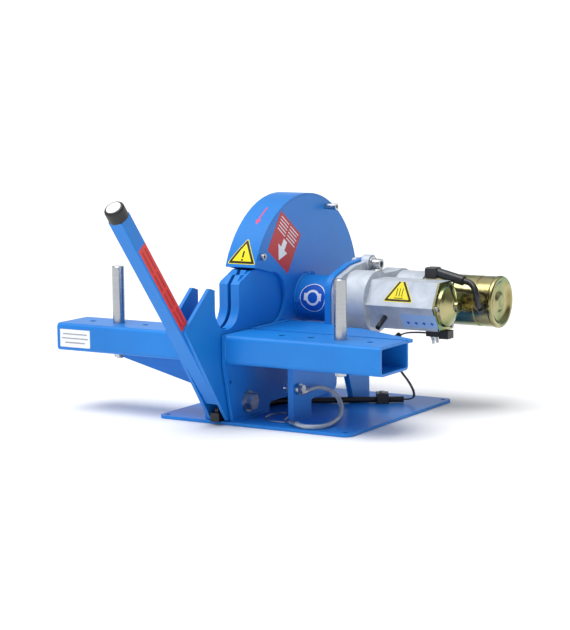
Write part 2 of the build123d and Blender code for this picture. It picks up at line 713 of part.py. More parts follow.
def make_drive_end_housing():
    """Casting: flange with two ears, round drum, hexagonal solenoid case and motor-side case."""
    flange_points = [
        (SPINDLE_Y - 61, SPINDLE_Z - 40),
        (SPINDLE_Y - 61, SPINDLE_Z + 37),
        (SPINDLE_Y + 1, SPINDLE_Z + 56),
        (SPINDLE_Y + 66, SPINDLE_Z + 62),
        (SPINDLE_Y + 66, SPINDLE_Z - 40),
        (SPINDLE_Y + 30, SPINDLE_Z - 56),
        (SPINDLE_Y - 40, SPINDLE_Z - 66),
        (SPINDLE_Y - 66, SPINDLE_Z - 66),
    ]
    radii = [10, 30, 56, 16, 20, 20, 10, 10]
    casting = plate_yz(flange_points, radii, BRACKET_END, FLANGE_T)
    drum_start = BRACKET_END + FLANGE_T
    casting += rod_x(2 * DRUM_R, drum_start, DRUM_END_X, SPINDLE_Y, SPINDLE_Z)
    lobe_start = BRACKET_END + LOBE_START
    lobe_end = DRUM_END_X
    lobe_r = YOKE_R + 5
    casting += rod_x(2 * lobe_r, lobe_start, lobe_end, MOTOR_Y, SPINDLE_Z)
    casting += block(lobe_start, lobe_end, SPINDLE_Y, MOTOR_Y, SPINDLE_Z - lobe_r + 2, SPINDLE_Z + lobe_r - 2)
    casting += rod_x(2 * YOKE_R + 4, lobe_end, YOKE_START_X, MOTOR_Y, SPINDLE_Z)
    casting += hex_x(2 * HEX_FLAT, DRUM_END_X, HEX_END_X, SPINDLE_Y, SPINDLE_Z)
    for y, z in flange_bolt_places():
        casting += rod_x(EAR_BOSS_D, BRACKET_END, drum_start + EAR_BOSS_T, y, z)
    hollow = rod_x(2 * (DRUM_R - SHELL_T), drum_start, DRUM_END_X - CASE_END_T, SPINDLE_Y, SPINDLE_Z)
    hollow += rod_x(NOSE_BORE_D, BRACKET_END - 1, drum_start + 1, SPINDLE_Y, SPINDLE_Z)
    hollow += rod_x(2 * (lobe_r - SHELL_T), lobe_start + SHELL_T, lobe_end - CASE_END_T, MOTOR_Y, SPINDLE_Z)
    hollow += block(
        lobe_start + SHELL_T, lobe_end - CASE_END_T, SPINDLE_Y, MOTOR_Y,
        SPINDLE_Z - lobe_r + 2 + SHELL_T, SPINDLE_Z + lobe_r - 2 - SHELL_T,
    )
    hollow += rod_x(2 * (HEX_FLAT - SHELL_T), DRUM_END_X - 3, HEX_END_X + 1, SPINDLE_Y, SPINDLE_Z)
    hollow += rod_x(2 * (YOKE_R - SHELL_T), lobe_end - 3, YOKE_START_X + 1, MOTOR_Y, SPINDLE_Z)
    casting -= hollow
    for y, z in flange_bolt_places():
        casting -= rod_x(EAR_BOLT_D + EAR_BOLT_FIT, BRACKET_END - 1, drum_start + EAR_BOSS_T + 1, y, z)
    return casting


def make_flange_bolts():
    """Socket-head screws on washers, through the ears and the bracket, with nuts behind."""
    bolts = []
    for y, z in flange_bolt_places():
        seat = BRACKET_END + FLANGE_T + EAR_BOSS_T
        bolt = rod_x(EAR_BOLT_D, BRACKET_X - 13, seat, y, z)
        bolt += rod_x(2 * EAR_BOLT_D, seat, seat + 2.5, y, z)
        bolt += rod_x(1.5 * EAR_BOLT_D, seat + 2.5, seat + 17, y, z)
        bolt -= hex_x(10, seat + 10, seat + 18, y, z)
        bolts.append(bolt + hex_x(1.5 * EAR_BOLT_D, BRACKET_X - 10.5, BRACKET_X - 0.5, y, z))
    return bolts


def make_solenoid_cover():
    """Pressed steel cover: a flat hexagon with a domed cup."""
    rim = hex_x(2 * HEX_FLAT, HEX_END_X, HEX_END_X + 3, SPINDLE_Y, SPINDLE_Z)
    profile = Polyline((0, 0), (33, 0), (32, 5), (27, 9), (14, 16), (9, 18), (9, 23), (0, 23), close=True)
    dome = revolve(Plane.XZ * make_face(profile), Axis.Z)
    return rim + Pos(HEX_END_X + 3, SPINDLE_Y, SPINDLE_Z) * Rot(0, 90, 0) * dome


def make_cover_screws():
    screws = []
    for angle in (150, 270, 30):
        y = SPINDLE_Y + (HEX_R - 6) * cos(radians(angle + 30))
        z = SPINDLE_Z + (HEX_R - 6) * sin(radians(angle + 30))
        screws.append(rod_x(7, HEX_END_X + 3, HEX_END_X + 6, y, z))
    return screws


def make_motor_yoke():
    """Steel yoke with its rolled shoulder near the end."""
    yoke = rod_x(2 * YOKE_R, YOKE_START_X, YOKE_END_X, MOTOR_Y, SPINDLE_Z)
    groove = rod_x(2 * YOKE_R + 2, YOKE_END_X - 26, YOKE_END_X - 22, MOTOR_Y, SPINDLE_Z)
    groove -= rod_x(2 * YOKE_R - 2.4, YOKE_END_X - 27, YOKE_END_X - 21, MOTOR_Y, SPINDLE_Z)
    hollow = rod_x(2 * (YOKE_R - SHELL_T), YOKE_START_X - 1, YOKE_END_X + 1, MOTOR_Y, SPINDLE_Z)
    return yoke - groove - hollow


def make_motor_end_cap():
    """Dished end cap with a small hub."""
    r = YOKE_R + 1
    profile = Polyline(
        (0, 0), (r, 0), (r, CAP_LENGTH - 2), (r - 2, CAP_LENGTH), (r - 7, CAP_LENGTH),
        (r - 10, CAP_LENGTH - 5), (14, CAP_LENGTH - 5), (12, CAP_LENGTH - 1), (0, CAP_LENGTH - 1),
        close=True,
    )
    cap = revolve(Plane.XZ * make_face(profile), Axis.Z)
    return Pos(YOKE_END_X, MOTOR_Y, SPINDLE_Z) * Rot(0, 90, 0) * cap


def make_terminal_boot():
    """Moulded rubber boot over the solenoid's motor terminal, tapering to the lead."""
    y = SPINDLE_Y + 31
    body = block(172, 194, y - 11, y + 11, SPINDLE_Z + HEX_FLAT + 0.5, SPINDLE_Z + HEX_FLAT + 19)
    body = fillet(body.edges(), 4)
    start = Vector(*lead_points()[0])
    back = (start - Vector(*lead_points()[1])).normalized()
    sleeve = tube_along(Line(start + back * 50, start), LEAD_D + 6)
    return body + sleeve


def lead_points():
    """Route of the motor lead from the boot to the grommet in the yoke's side."""
    return [
        (238, 88, 214), (251, 87.7, 211), (260, 84, 202), (264, 83, 189), (263, 87, 178), (262, 96, 172),
    ]


def make_motor_lead():
    return tube_along(soft_path(lead_points()), LEAD_D)


def make_lead_grommet():
    """Rubber grommet where the lead enters the yoke."""
    before = Vector(*lead_points()[-2])
    start = Vector(*lead_points()[-1])
    tube = Plane(origin=start, z_dir=start - before) * Pos(0, 0, 6) * Cylinder(LEAD_D / 2 + 2, 12)
    return tube - rod_x(2 * YOKE_R, YOKE_START_X, YOKE_END_X + 20, MOTOR_Y, SPINDLE_Z)


def make_drain_tube():
    """Short breather tube on the lower front facet of the solenoid case."""
    place = Pos(130, SPINDLE_Y, SPINDLE_Z) * Rot(120, 0, 0)
    return place * Pos(0, 0, HEX_FLAT + 14) * Cylinder(4.2, 28)


def make_terminal_block():
    """Insulated block under the solenoid case, with two studs."""
    top = SPINDLE_Z - HEX_FLAT
    carrier = block(192, 214, SPINDLE_Y - 12, SPINDLE_Y + 12, top - 10, top)
    guard = block(214, 230, SPINDLE_Y - 10, SPINDLE_Y + 10, top - 13, top)
    return carrier + guard


def make_terminal_nuts():
    top = SPINDLE_Z - HEX_FLAT - 10
    pieces = []
    for y in (SPINDLE_Y - 6, SPINDLE_Y + 8):
        stud = rod_z(5, 203, y, top - 12, top)
        pieces.append(stud + rod_z(11, 203, y, top - 2, top) + hex_z(8, 203, y, top - 6.5, top - 2))
    return pieces


def make_solenoid_coil():
    start = DRUM_END_X + 20
    coil = rod_x(62, start, HEX_END_X - 6, SPINDLE_Y, SPINDLE_Z)
    coil += rod_x(2 * (HEX_FLAT - SHELL_T), HEX_END_X - 6, HEX_END_X, SPINDLE_Y, SPINDLE_Z)
    return coil - rod_x(24, start - 1, HEX_END_X - 20, SPINDLE_Y, SPINDLE_Z)


def make_solenoid_plunger():
    """Iron core that slides in the coil when the starter engages."""
    return rod_x(23.4, DRUM_END_X + 14, HEX_END_X - 34, SPINDLE_Y, SPINDLE_Z)


def make_drive_gear():
    """Driven gear with its hub in the coupling."""
    start = BRACKET_END + 8
    gear_x = gear_plane()
    hub = rod_x(30, start, gear_x, SPINDLE_Y, SPINDLE_Z)
    return hub + rod_x(2 * DRIVE_GEAR_R - GEAR_GAP, gear_x, gear_x + GEAR_WIDTH, SPINDLE_Y, SPINDLE_Z)


def gear_plane():
    return BRACKET_END + 28


def make_idler_gear():
    y = SPINDLE_Y + DRIVE_GEAR_R + IDLER_R
    gear_x = gear_plane()
    gear = rod_x(2 * IDLER_R - GEAR_GAP, gear_x, gear_x + GEAR_WIDTH, y, SPINDLE_Z)
    return gear - rod_x(IDLER_PIN_D + IDLER_PIN_FIT, gear_x - 1, gear_x + GEAR_WIDTH + 1, y, SPINDLE_Z)


def make_idler_pin():
    y = SPINDLE_Y + DRIVE_GEAR_R + IDLER_R
    return rod_x(IDLER_PIN_D, BRACKET_END + LOBE_START + SHELL_T, DRUM_END_X - CASE_END_T, y, SPINDLE_Z)


def make_armature():
    """Armature with its shaft and pinion."""
    gear_x = gear_plane()
    shaft = rod_x(10, gear_x, YOKE_END_X - 2, MOTOR_Y, SPINDLE_Z)
    pinion = rod_x(2 * PINION_R - GEAR_GAP, gear_x, gear_x + GEAR_WIDTH, MOTOR_Y, SPINDLE_Z)
    core = rod_x(52, YOKE_START_X + 8, YOKE_END_X - 45, MOTOR_Y, SPINDLE_Z)
    commutator = rod_x(32, YOKE_END_X - 40, YOKE_END_X - 16, MOTOR_Y, SPINDLE_Z)
    return shaft + pinion + core + commutator


def make_field_magnets():
    """Ring of field magnets inside the yoke."""
    ring = rod_x(2 * (YOKE_R - SHELL_T), YOKE_START_X + 6, YOKE_END_X - 42, MOTOR_Y, SPINDLE_Z)
    return ring - rod_x(54, YOKE_START_X, YOKE_END_X, MOTOR_Y, SPINDLE_Z)


def make_brush_holder():
    ring = rod_x(2 * (YOKE_R - SHELL_T), YOKE_END_X - 38, YOKE_END_X - 18, MOTOR_Y, SPINDLE_Z)
    return ring - rod_x(33, YOKE_END_X - 45, YOKE_END_X, MOTOR_Y, SPINDLE_Z)


# Conduit, switch and tether

def conduit_path():
    z = BASE_T + CONDUIT_D / 2
    return FilletPolyline((BLADE_X, -152, z), (BLADE_X, -5, z), (120, 106, z), radius=[CONDUIT_BEND_R])


def make_conduit():
    """Corrugated cable conduit, plain here, with the wires' way through it."""
    path = conduit_path()
    return tube_along(path, CONDUIT_D) - tube_along(path, CONDUIT_BORE)


def make_conduit_clamp():
    """Plastic block clamped over the conduit on the base plate."""
    clamp = Pos(0, 0, CLAMP_HEIGHT / 2) * Box(20, 24, CLAMP_HEIGHT)
    clamp = fillet(clamp.edges().filter_by(Axis.Z), 2)
    way = CONDUIT_D + 0.2
    clamp -= Pos(0, 0, CONDUIT_D / 2) * Rot(0, 90, 0) * Cylinder(way / 2, 40)
    clamp -= Pos(0, 0, CONDUIT_D / 4 - 1) * Box(40, way, CONDUIT_D / 2 + 2)
    return Pos(*CLAMP_PLACE, BASE_T) * Rot(0, 0, CLAMP_TURN) * clamp


def make_clamp_screw():
    x, y = CLAMP_PLACE
    return rod_z(9, x, y, BASE_T + CLAMP_HEIGHT, BASE_T + CLAMP_HEIGHT + 3)


def make_switch_body():
    """Micro switch on the base plate, under the lever's foot."""
    top = BASE_T + SWITCH_HEIGHT
    body = block(BLADE_X - 8, BLADE_X + 8, SWITCH_Y - 14, SWITCH_Y + 14, BASE_T, top)
    body = fillet(body.edges().filter_by(Axis.Z), 1)
    half = BUTTON_SIZE / 2 + BUTTON_GAP
    button_y = SWITCH_Y - 5
    floor = top - BUTTON_DEPTH - BUTTON_TRAVEL - 1
    return body - block(BLADE_X - half, BLADE_X + half, button_y - half, button_y + half, floor, top + 1)


def make_switch_button():
    """Sprung button, guided in its well in the switch body."""
    top = BASE_T + SWITCH_HEIGHT
    half = BUTTON_SIZE / 2
    button_y = SWITCH_Y - 5
    return block(
        BLADE_X - half, BLADE_X + half, button_y - half, button_y + half, top - BUTTON_DEPTH, top + 6,
    )


def make_tether_bolt():
    y, z = tether_place()
    seat = BRACKET_END + EYE_T
    bolt = rod_x(TETHER_BOLT_D, BRACKET_X - 14, seat, y, z)
    bolt += hex_x(TETHER_BOLT_FLATS, seat, seat + 5.5, y, z)
    bolt += hex_x(TETHER_BOLT_FLATS, BRACKET_X - 8, BRACKET_X - 1.5, y, z)
    return bolt + rod_x(2 * TETHER_BOLT_D, BRACKET_X - 1.5, BRACKET_X, y, z)


def make_tether_eye():
    """Crimped eye on the tether bolt."""
    y, z = tether_place()
    washer = rod_x(2 * TETHER_BOLT_D, BRACKET_END, BRACKET_END + 1.5, y, z)
    eye = rod_x(17, BRACKET_END + 1.5, BRACKET_END + EYE_T, y, z)
    start = Vector(*tether_points()[0])
    back = (start - Vector(*tether_points()[1])).normalized()
    crimp = tube_along(Line(start + back * 11, start), TETHER_D + 1.5)
    return washer + eye + crimp - make_tether_bolt()


def tether_points():
    """Route of the sleeved tether, from its upper crimp round to the lower one on the base plate."""
    return [
        (56, -99, 50.5), (58.5, -86, 53), (63, -73, 53.5), (70, -62, 50.5), (79, -54.5, 44),
        (88, -52.5, 34.5), (95.5, -58, 25), (102, -69.5, 17), (107.5, -85, 11.5), (112, -105, 9.2),
        (117.5, -127, 9.2), (120.5, -148, 9.2), (115, -161.5, 9.2), (103.5, -169.5, 9.2),
        (89.5, -170, 9.4), (77.5, -163.5, 9.8),
    ]


def make_tether_cable():
    return tube_along(soft_path(tether_points()), TETHER_D)


def make_tether_ferrule():
    """Pressed ferrule between the sleeved rope and the bare wire ring."""
    end = Vector(*tether_points()[-1])
    onward = (end - Vector(*tether_points()[-2])).normalized()
    return tube_along(Line(end, end + onward * FERRULE_LENGTH), TETHER_D + 1.5)


def make_tether_ring():
    """Bare wire bent into a ring, lying on the base plate."""
    end = Vector(*tether_points()[-1])
    onward = (end - Vector(*tether_points()[-2])).normalized()
    mouth = end + onward * FERRULE_LENGTH
    z = BASE_T + RING_WIRE_D / 2 + 0.3
    first = mouth + onward * 0.2 + Vector(0, -1.4, 0)
    last = mouth + onward * 0.2 + Vector(0, 1.4, 0)
    points = [
        first, (44, -140, z), (26, -141, z), (7, -137, z), (-8, -119, z), (-14, -92, z), (-6, -71, z),
        (8, -72, z), (20, -92, z), (32, -128, z), (44, -134, z), last,
    ]
    radii = [12, 20, 26, 24, 22, 13, 13, 24, 12, 9]
    return tube_along(FilletPolyline(*points, radius=radii), RING_WIRE_D) - make_tether_ferrule()


def wire_points():
    """Route of a control wire from the conduit's mouth up to the solenoid's terminals."""
    return [
        (114, 102.3, 10.5), (128, 109, 10.7), (141, 103, 16), (147, 90, 29), (145, 77, 46), (136, 66, 64),
        (127, 60, 84), (124, 58, 104), (132, 57, 121), (150, 57, 129), (172, 58, 131), (191.9, 58, 131),
    ]


def make_control_wires():
    wires = []
    for shift in (-1.6, 1.6):
        points = [(x, y + shift, z) for x, y, z in wire_points()]
        wires.append(tube_along(soft_path(points), WIRE_D))
    return wires


def write(name, shape):
    """One STEP file per named piece; a list is a group of separate solids."""
    if isinstance(shape, list):
        shape = Compound([solid for item in shape for solid in item.solids()])
    export_step(shape, f"parts/{name}.step")


os.makedirs("parts", exist_ok=True)

write("base_plate", make_base_plate())
write("column_plate_right", make_column_plate_right())
write("column_plate_left", make_column_plate_left())
write("column_rear_tie", make_column_rear_tie())
write("beam_left", beam(TABLE_LEFT, COLUMN_LEFT))
write("beam_right", beam(COLUMN_RIGHT, TABLE_RIGHT))
write("table_gusset", make_table_gusset())
write("beam_rib", make_beam_rib())
write("motor_bracket", make_motor_bracket())
write("bearing_tube", make_bearing_tube())
write("bearing_tube_screws", make_tube_screws())
write("guard_shell", make_guard_shell())
write("guard_bolts", make_shell_screws() + make_tie_bolts())
write("guard_tie_spacers", make_tie_spacers())
write("guide_pins", [guide_pin(x) for x in PIN_XS])
write("guide_pin_nuts", make_pin_nuts())
write("pivot_bolt", make_pivot_bolt())
write("pivot_nut_washers", make_pivot_washers() + [make_pivot_nut()])
write("cradle_plate_left", cradle_plate(BLADE_X - CRADLE_OUT))
write("cradle_plate_right", cradle_plate(BLADE_X + CRADLE_IN))
write("guide_blocks", make_guide_blocks())
write("lever_tube", make_lever_tube())
write("lever_cap", make_lever_cap())
write("pivot_bush", make_pivot_bush())
write("spindle", make_spindle())
write("blade", make_blade())
write("blade_flanges", make_blade_flanges())
write("blade_nut", make_blade_nut())
write("spindle_bearings", make_spindle_bearings())
write("drive_end_housing", make_drive_end_housing())
write("flange_bolts", make_flange_bolts())
write("solenoid_cover", make_solenoid_cover())
write("solenoid_cover_screws", make_cover_screws())
write("solenoid_coil", make_solenoid_coil())
write("solenoid_plunger", make_solenoid_plunger())
write("drive_gear", make_drive_gear())
write("idler_gear", make_idler_gear())
write("idler_pin", make_idler_pin())
write("armature", make_armature())
write("field_magnets", make_field_magnets())
write("brush_holder", make_brush_holder())
write("motor_yoke", make_motor_yoke())
write("motor_end_cap", make_motor_end_cap())
write("terminal_boot", make_terminal_boot())
write("motor_lead", make_motor_lead())
write("lead_grommet", make_lead_grommet())
write("drain_tube", make_drain_tube())
write("terminal_block", make_terminal_block())
write("terminal_nuts", make_terminal_nuts())
write("conduit", make_conduit())
write("conduit_clamp", make_conduit_clamp())
write("conduit_clamp_screw", make_clamp_screw())
write("switch_body", make_switch_body())
write("switch_button", make_switch_button())
write("tether_bolt", make_tether_bolt())
write("tether_eye", make_tether_eye())
write("tether_cable", make_tether_cable())
write("tether_ferrule", make_tether_ferrule())
write("tether_ring", make_tether_ring())
write("control_wires", make_control_wires())
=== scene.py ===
import math

import bmesh
import bpy
from mathutils import Euler, Matrix, Vector


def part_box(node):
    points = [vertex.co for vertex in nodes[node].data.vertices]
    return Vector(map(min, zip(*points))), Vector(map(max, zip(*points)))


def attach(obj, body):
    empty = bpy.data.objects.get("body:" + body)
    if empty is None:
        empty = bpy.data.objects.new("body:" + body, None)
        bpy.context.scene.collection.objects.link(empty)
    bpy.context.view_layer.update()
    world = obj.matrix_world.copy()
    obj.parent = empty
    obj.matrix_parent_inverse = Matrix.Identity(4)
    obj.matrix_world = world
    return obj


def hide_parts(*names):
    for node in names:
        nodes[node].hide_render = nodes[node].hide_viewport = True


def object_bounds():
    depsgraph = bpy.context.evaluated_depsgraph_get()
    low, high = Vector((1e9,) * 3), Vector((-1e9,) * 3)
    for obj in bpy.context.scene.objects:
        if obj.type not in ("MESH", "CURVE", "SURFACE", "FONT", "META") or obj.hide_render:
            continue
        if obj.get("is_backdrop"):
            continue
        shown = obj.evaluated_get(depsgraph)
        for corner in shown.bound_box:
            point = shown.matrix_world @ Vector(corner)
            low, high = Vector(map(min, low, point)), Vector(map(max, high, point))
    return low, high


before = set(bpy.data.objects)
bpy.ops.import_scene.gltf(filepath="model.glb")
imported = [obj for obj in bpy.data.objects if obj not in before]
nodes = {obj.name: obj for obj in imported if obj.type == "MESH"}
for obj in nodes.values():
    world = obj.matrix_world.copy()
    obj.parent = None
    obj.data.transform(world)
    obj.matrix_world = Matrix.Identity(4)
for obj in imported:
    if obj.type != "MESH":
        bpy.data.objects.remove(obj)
scene = bpy.context.scene
cad_low, cad_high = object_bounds()


# ---------------------------------------------------------------------------
# Camera: a long lens from the front right, a little above the table.
# ---------------------------------------------------------------------------

camera_place = (1.6349, -2.7480, 0.5864)
camera_down, camera_turn, camera_roll = (math.radians(angle) for angle in (7.67, 31.39, -0.63))

camera_data = bpy.data.cameras.new("camera")
camera_data.sensor_fit = "HORIZONTAL"
camera_data.sensor_width = 36
camera_data.lens = 125.96
camera_data.clip_end = 50
camera = bpy.data.objects.new("camera", camera_data)
scene.collection.objects.link(camera)
look = Euler((math.radians(90) - camera_down, 0, camera_turn)).to_matrix().to_4x4()
camera.matrix_world = Matrix.Translation(camera_place) @ look @ Matrix.Rotation(camera_roll, 4, "Z")
scene.camera = camera


# ---------------------------------------------------------------------------
# Studio: a white paper floor in a room with white walls, a darker band above them, a lit
# ceiling and a dark curtain to the right, under one wide soft light. None of it is part
# of the machine.
# ---------------------------------------------------------------------------

def link_piece(mesh_or_curve, name):
    """New object in the scene from a mesh or a curve."""
    piece = bpy.data.objects.new(name, mesh_or_curve)
    scene.collection.objects.link(piece)
    return piece


def linear(code):
    """Linear colour from an sRGB hex code."""
    channels = [int(code[i:i + 2], 16) / 255 for i in (1, 3, 5)]
    return [c / 12.92 if c <= 0.04045 else ((c + 0.055) / 1.055) ** 2.4 for c in channels] + [1]


def add_node(tree, kind, settings=None, links=None):
    """Node of a material, with its settings and sockets, and what is linked into it."""
    node = tree.nodes.new(kind)
    for key, value in (settings or {}).items():
        if hasattr(node, key):
            setattr(node, key, value)
        else:
            node.inputs[key].default_value = value
    for key, source in (links or {}).items():
        tree.links.new(source, node.inputs[key])
    return node


def new_material(name):
    """Empty material with an output, and its node tree."""
    material = bpy.data.materials.new(name)
    material.use_nodes = True
    tree = material.node_tree
    tree.nodes.clear()
    return material, tree


def per_metre(size_mm):
    """Pattern scale for cells of a size in millimetres, on an object measured in metres."""
    return 1000 / size_mm


def finish_material(tree, shader):
    """Output node of a material."""
    add_node(tree, "ShaderNodeOutputMaterial", links={"Surface": shader.outputs["BSDF"]})


# Uncoated white paper: matt, with tone patches about 200 mm across.
reach = 6.0
paper_patch = 0.2
paper, tree = new_material("white_paper")
grain = add_node(tree, "ShaderNodeTexNoise", {"Scale": 2 * reach / paper_patch, "Detail": 4.0})
tone = add_node(tree, "ShaderNodeValToRGB", links={"Fac": grain.outputs["Fac"]})
tone.color_ramp.elements[0].color = linear("#F4F4F5")
tone.color_ramp.elements[1].color = linear("#FBFBFB")
finish_material(tree, add_node(
    tree, "ShaderNodeBsdfPrincipled", {"Roughness": 0.9, "Specular IOR Level": 0.1},
    {"Base Color": tone.outputs["Color"]},
))

floor_gap = 0.0005
floor_corners = [(-reach, -reach, 0), (reach, -reach, 0), (reach, reach, 0), (-reach, reach, 0)]
floor_mesh = bpy.data.meshes.new("floor")
floor_mesh.from_pydata(floor_corners, [], [(0, 1, 2, 3)])
floor_mesh.materials.append(paper)
floor = link_piece(floor_mesh, "floor")
floor.location.z = cad_low[2] - floor_gap
floor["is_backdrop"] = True

world = bpy.data.worlds.new("studio")
world.use_nodes = True
scene.world = world
sky = world.node_tree.nodes["Background"]
direction = add_node(world.node_tree, "ShaderNodeTexCoord")
height = add_node(world.node_tree, "ShaderNodeSeparateXYZ", links={"Vector": direction.outputs["Generated"]})
walls = add_node(world.node_tree, "ShaderNodeValToRGB", links={"Fac": height.outputs["Z"]})
white = (1, 1, 1, 1)
walls.color_ramp.elements[0].position = 0.14
walls.color_ramp.elements[0].color = white
walls.color_ramp.elements[1].position = 1.0
walls.color_ramp.elements[1].color = white
for place, level in ((0.34, 0.3), (0.62, 0.4)):
    walls.color_ramp.elements.new(place).color = (level, level, level, 1)
dark_side = add_node(world.node_tree, "ShaderNodeVectorMath", {"operation": "DOT_PRODUCT"},
                     {0: direction.outputs["Generated"]})
dark_side.inputs[1].default_value = (0.9, -0.43, 0)
shade = add_node(world.node_tree, "ShaderNodeMapRange",
                 {"From Min": 0.1, "From Max": 0.75, "To Min": 1.2, "To Max": 0.45},
                 {"Value": dark_side.outputs["Value"]})
above_wall = add_node(world.node_tree, "ShaderNodeMapRange", {"From Min": 0.12, "From Max": 0.3},
                      {"Value": height.outputs["Z"]})
curtain = add_node(world.node_tree, "ShaderNodeMix", {"data_type": "FLOAT", "A": 1.08},
                   {"Factor": above_wall.outputs["Result"], "B": shade.outputs["Result"]})
world.node_tree.links.new(walls.outputs["Color"], sky.inputs["Color"])
world.node_tree.links.new(curtain.outputs["Result"], sky.inputs["Strength"])


def soft_light(name, direction, strength, spread):
    """Distant soft light from a direction; its spread in degrees softens the shadows."""
    light = bpy.data.lights.new(name, "SUN")
    light.energy = strength
    light.angle = math.radians(spread)
    lamp = bpy.data.objects.new(name, light)
    scene.collection.objects.link(lamp)
    lamp.rotation_euler = Vector(direction).to_track_quat("Z", "Y").to_euler()


soft_light("key_light", (-0.12, -0.3, 0.95), 2.2, 45)

scene.view_settings.view_transform = "Standard"


# ---------------------------------------------------------------------------
# Tether: a steel wire rope in a clear PVC sleeve, held by a crimped eye on the bracket.
# It stands up from the eye, curls over and comes to rest on the base plate.
# ---------------------------------------------------------------------------

tether_diameter = 0.0074
tether_route = [
    (56, -99, 50.5), (58.5, -86, 53), (63, -73, 53.5), (70, -62, 50.5), (79, -54.5, 44),
    (88, -52.5, 34.5), (95.5, -58, 25), (102, -69.5, 17), (107.5, -85, 11.5), (112, -105, 9.2),
    (117.5, -127, 9.2), (120.5, -148, 9.2), (115, -161.5, 9.2), (103.5, -169.5, 9.2),
    (89.5, -170, 9.4), (77.5, -163.5, 9.8),
]


def route_curve(name, points_mm, radius, resolution=6, sides=5):
    """Round cord on a NURBS line whose control points are the route's own points."""
    curve = bpy.data.curves.new(name, "CURVE")
    curve.dimensions = "3D"
    curve.bevel_depth = radius
    curve.bevel_resolution = sides
    curve.resolution_u = resolution
    curve.use_fill_caps = True
    line = curve.splines.new("NURBS")
    line.points.add(len(points_mm) - 1)
    for point, place in zip(line.points, points_mm):
        point.co = (*[value / 1000 for value in place], 1)
    line.order_u = 3
    line.use_endpoint_u = True
    return curve


def line_of(points_mm):
    """Points along a route's NURBS line, in metres."""
    holder = link_piece(route_curve("line", points_mm, 0, 12), "line")
    mesh = bpy.data.meshes.new_from_object(holder)
    points = [vertex.co.copy() for vertex in mesh.vertices]
    bpy.data.objects.remove(holder)
    return points


def even_points(points, step):
    """The same line, with points an even step apart."""
    kept = [points[0]]
    travelled = 0.0
    target = step
    for before, after in zip(points, points[1:]):
        run = (after - before).length
        while run > 0 and travelled + run >= target:
            kept.append(before.lerp(after, (target - travelled) / run))
            target += step
        travelled += run
    if (kept[-1] - points[-1]).length > step * 0.3:
        kept.append(points[-1].copy())
    return kept


def line_frames(points):
    """Direction and two steady side vectors at each point of a line."""
    frames = []
    side = None
    for i, point in enumerate(points):
        ahead = points[min(i + 1, len(points) - 1)] - points[max(i - 1, 0)]
        ahead.normalize()
        if side is None:
            side = ahead.orthogonal()
        side = (side - ahead * side.dot(ahead)).normalized()
        frames.append((point, ahead, side, ahead.cross(side)))
    return frames


def tube_mesh(bm, frames, radii, sides=12, turns=None, offset=0.0):
    """Tube along a line, with a radius at each point; offset and turns make it a strand of a rope."""
    rings = []
    for i, (point, ahead, side, across) in enumerate(frames):
        centre = point
        if turns is not None:
            centre = point + (side * math.cos(turns[i]) + across * math.sin(turns[i])) * offset
        ring = []
        for k in range(sides):
            angle = 2 * math.pi * k / sides
            ring.append(bm.verts.new(centre + (side * math.cos(angle) + across * math.sin(angle)) * radii[i]))
        rings.append(ring)
    for first, second in zip(rings, rings[1:]):
        for k in range(sides):
            bm.faces.new((first[k], first[(k + 1) % sides], second[(k + 1) % sides], second[k]))
    bm.faces.new(list(reversed(rings[0])))
    bm.faces.new(rings[-1])


def mesh_piece(bm, name, material, smooth=True):
    """Finished mesh object from a bmesh."""
    bmesh.ops.recalc_face_normals(bm, faces=bm.faces)
    mesh = bpy.data.meshes.new(name)
    bm.to_mesh(mesh)
    bm.free()
    mesh.materials.append(material)
    if smooth:
        mesh.shade_smooth()
    return link_piece(mesh, name)


# Clear soft PVC, extruded: glossy, faintly blue, with a fine ripple in its wall, which is
# counted over the whole sleeve.
clear_pvc, tree = new_material("clear_extruded_pvc")
wave = add_node(tree, "ShaderNodeTexNoise", {"Scale": 220.0, "Detail": 2.0})
bump = add_node(tree, "ShaderNodeBump", {"Strength": 0.25, "Distance": 0.0004},
                {"Height": wave.outputs["Fac"]})
shade = add_node(tree, "ShaderNodeValToRGB", links={"Fac": wave.outputs["Fac"]})
shade.color_ramp.elements[0].color = linear("#B9C9D8")
shade.color_ramp.elements[1].color = linear("#DCE6EE")
finish_material(tree, add_node(
    tree, "ShaderNodeBsdfPrincipled",
    {"Roughness": 0.16, "IOR": 1.53, "Transmission Weight": 0.55},
    {"Base Color": shade.outputs["Color"], "Normal": bump.outputs["Normal"]},
))

# Drawn steel wire, bright: tight highlights broken by a very fine mottle.
wire_steel, tree = new_material("drawn_steel_wire")
lines = add_node(tree, "ShaderNodeTexNoise", {"Scale": 900.0, "Detail": 3.0})
rough = add_node(tree, "ShaderNodeMapRange", {"To Min": 0.22, "To Max": 0.42},
                 {"Value": lines.outputs["Fac"]})
tint = add_node(tree, "ShaderNodeValToRGB", links={"Fac": lines.outputs["Fac"]})
tint.color_ramp.elements[0].color = linear("#A9ADB2")
tint.color_ramp.elements[1].color = linear("#D5D8DB")
finish_material(tree, add_node(
    tree, "ShaderNodeBsdfPrincipled", {"Metallic": 1.0},
    {"Base Color": tint.outputs["Color"], "Roughness": rough.outputs["Result"]},
))

sleeve_curve = route_curve("tether_sleeve", tether_route, tether_diameter / 2)
sleeve_curve.materials.append(clear_pvc)
tether_sleeve = link_piece(sleeve_curve, "tether_sleeve")
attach(tether_sleeve, "frame")
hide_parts("tether_cable")

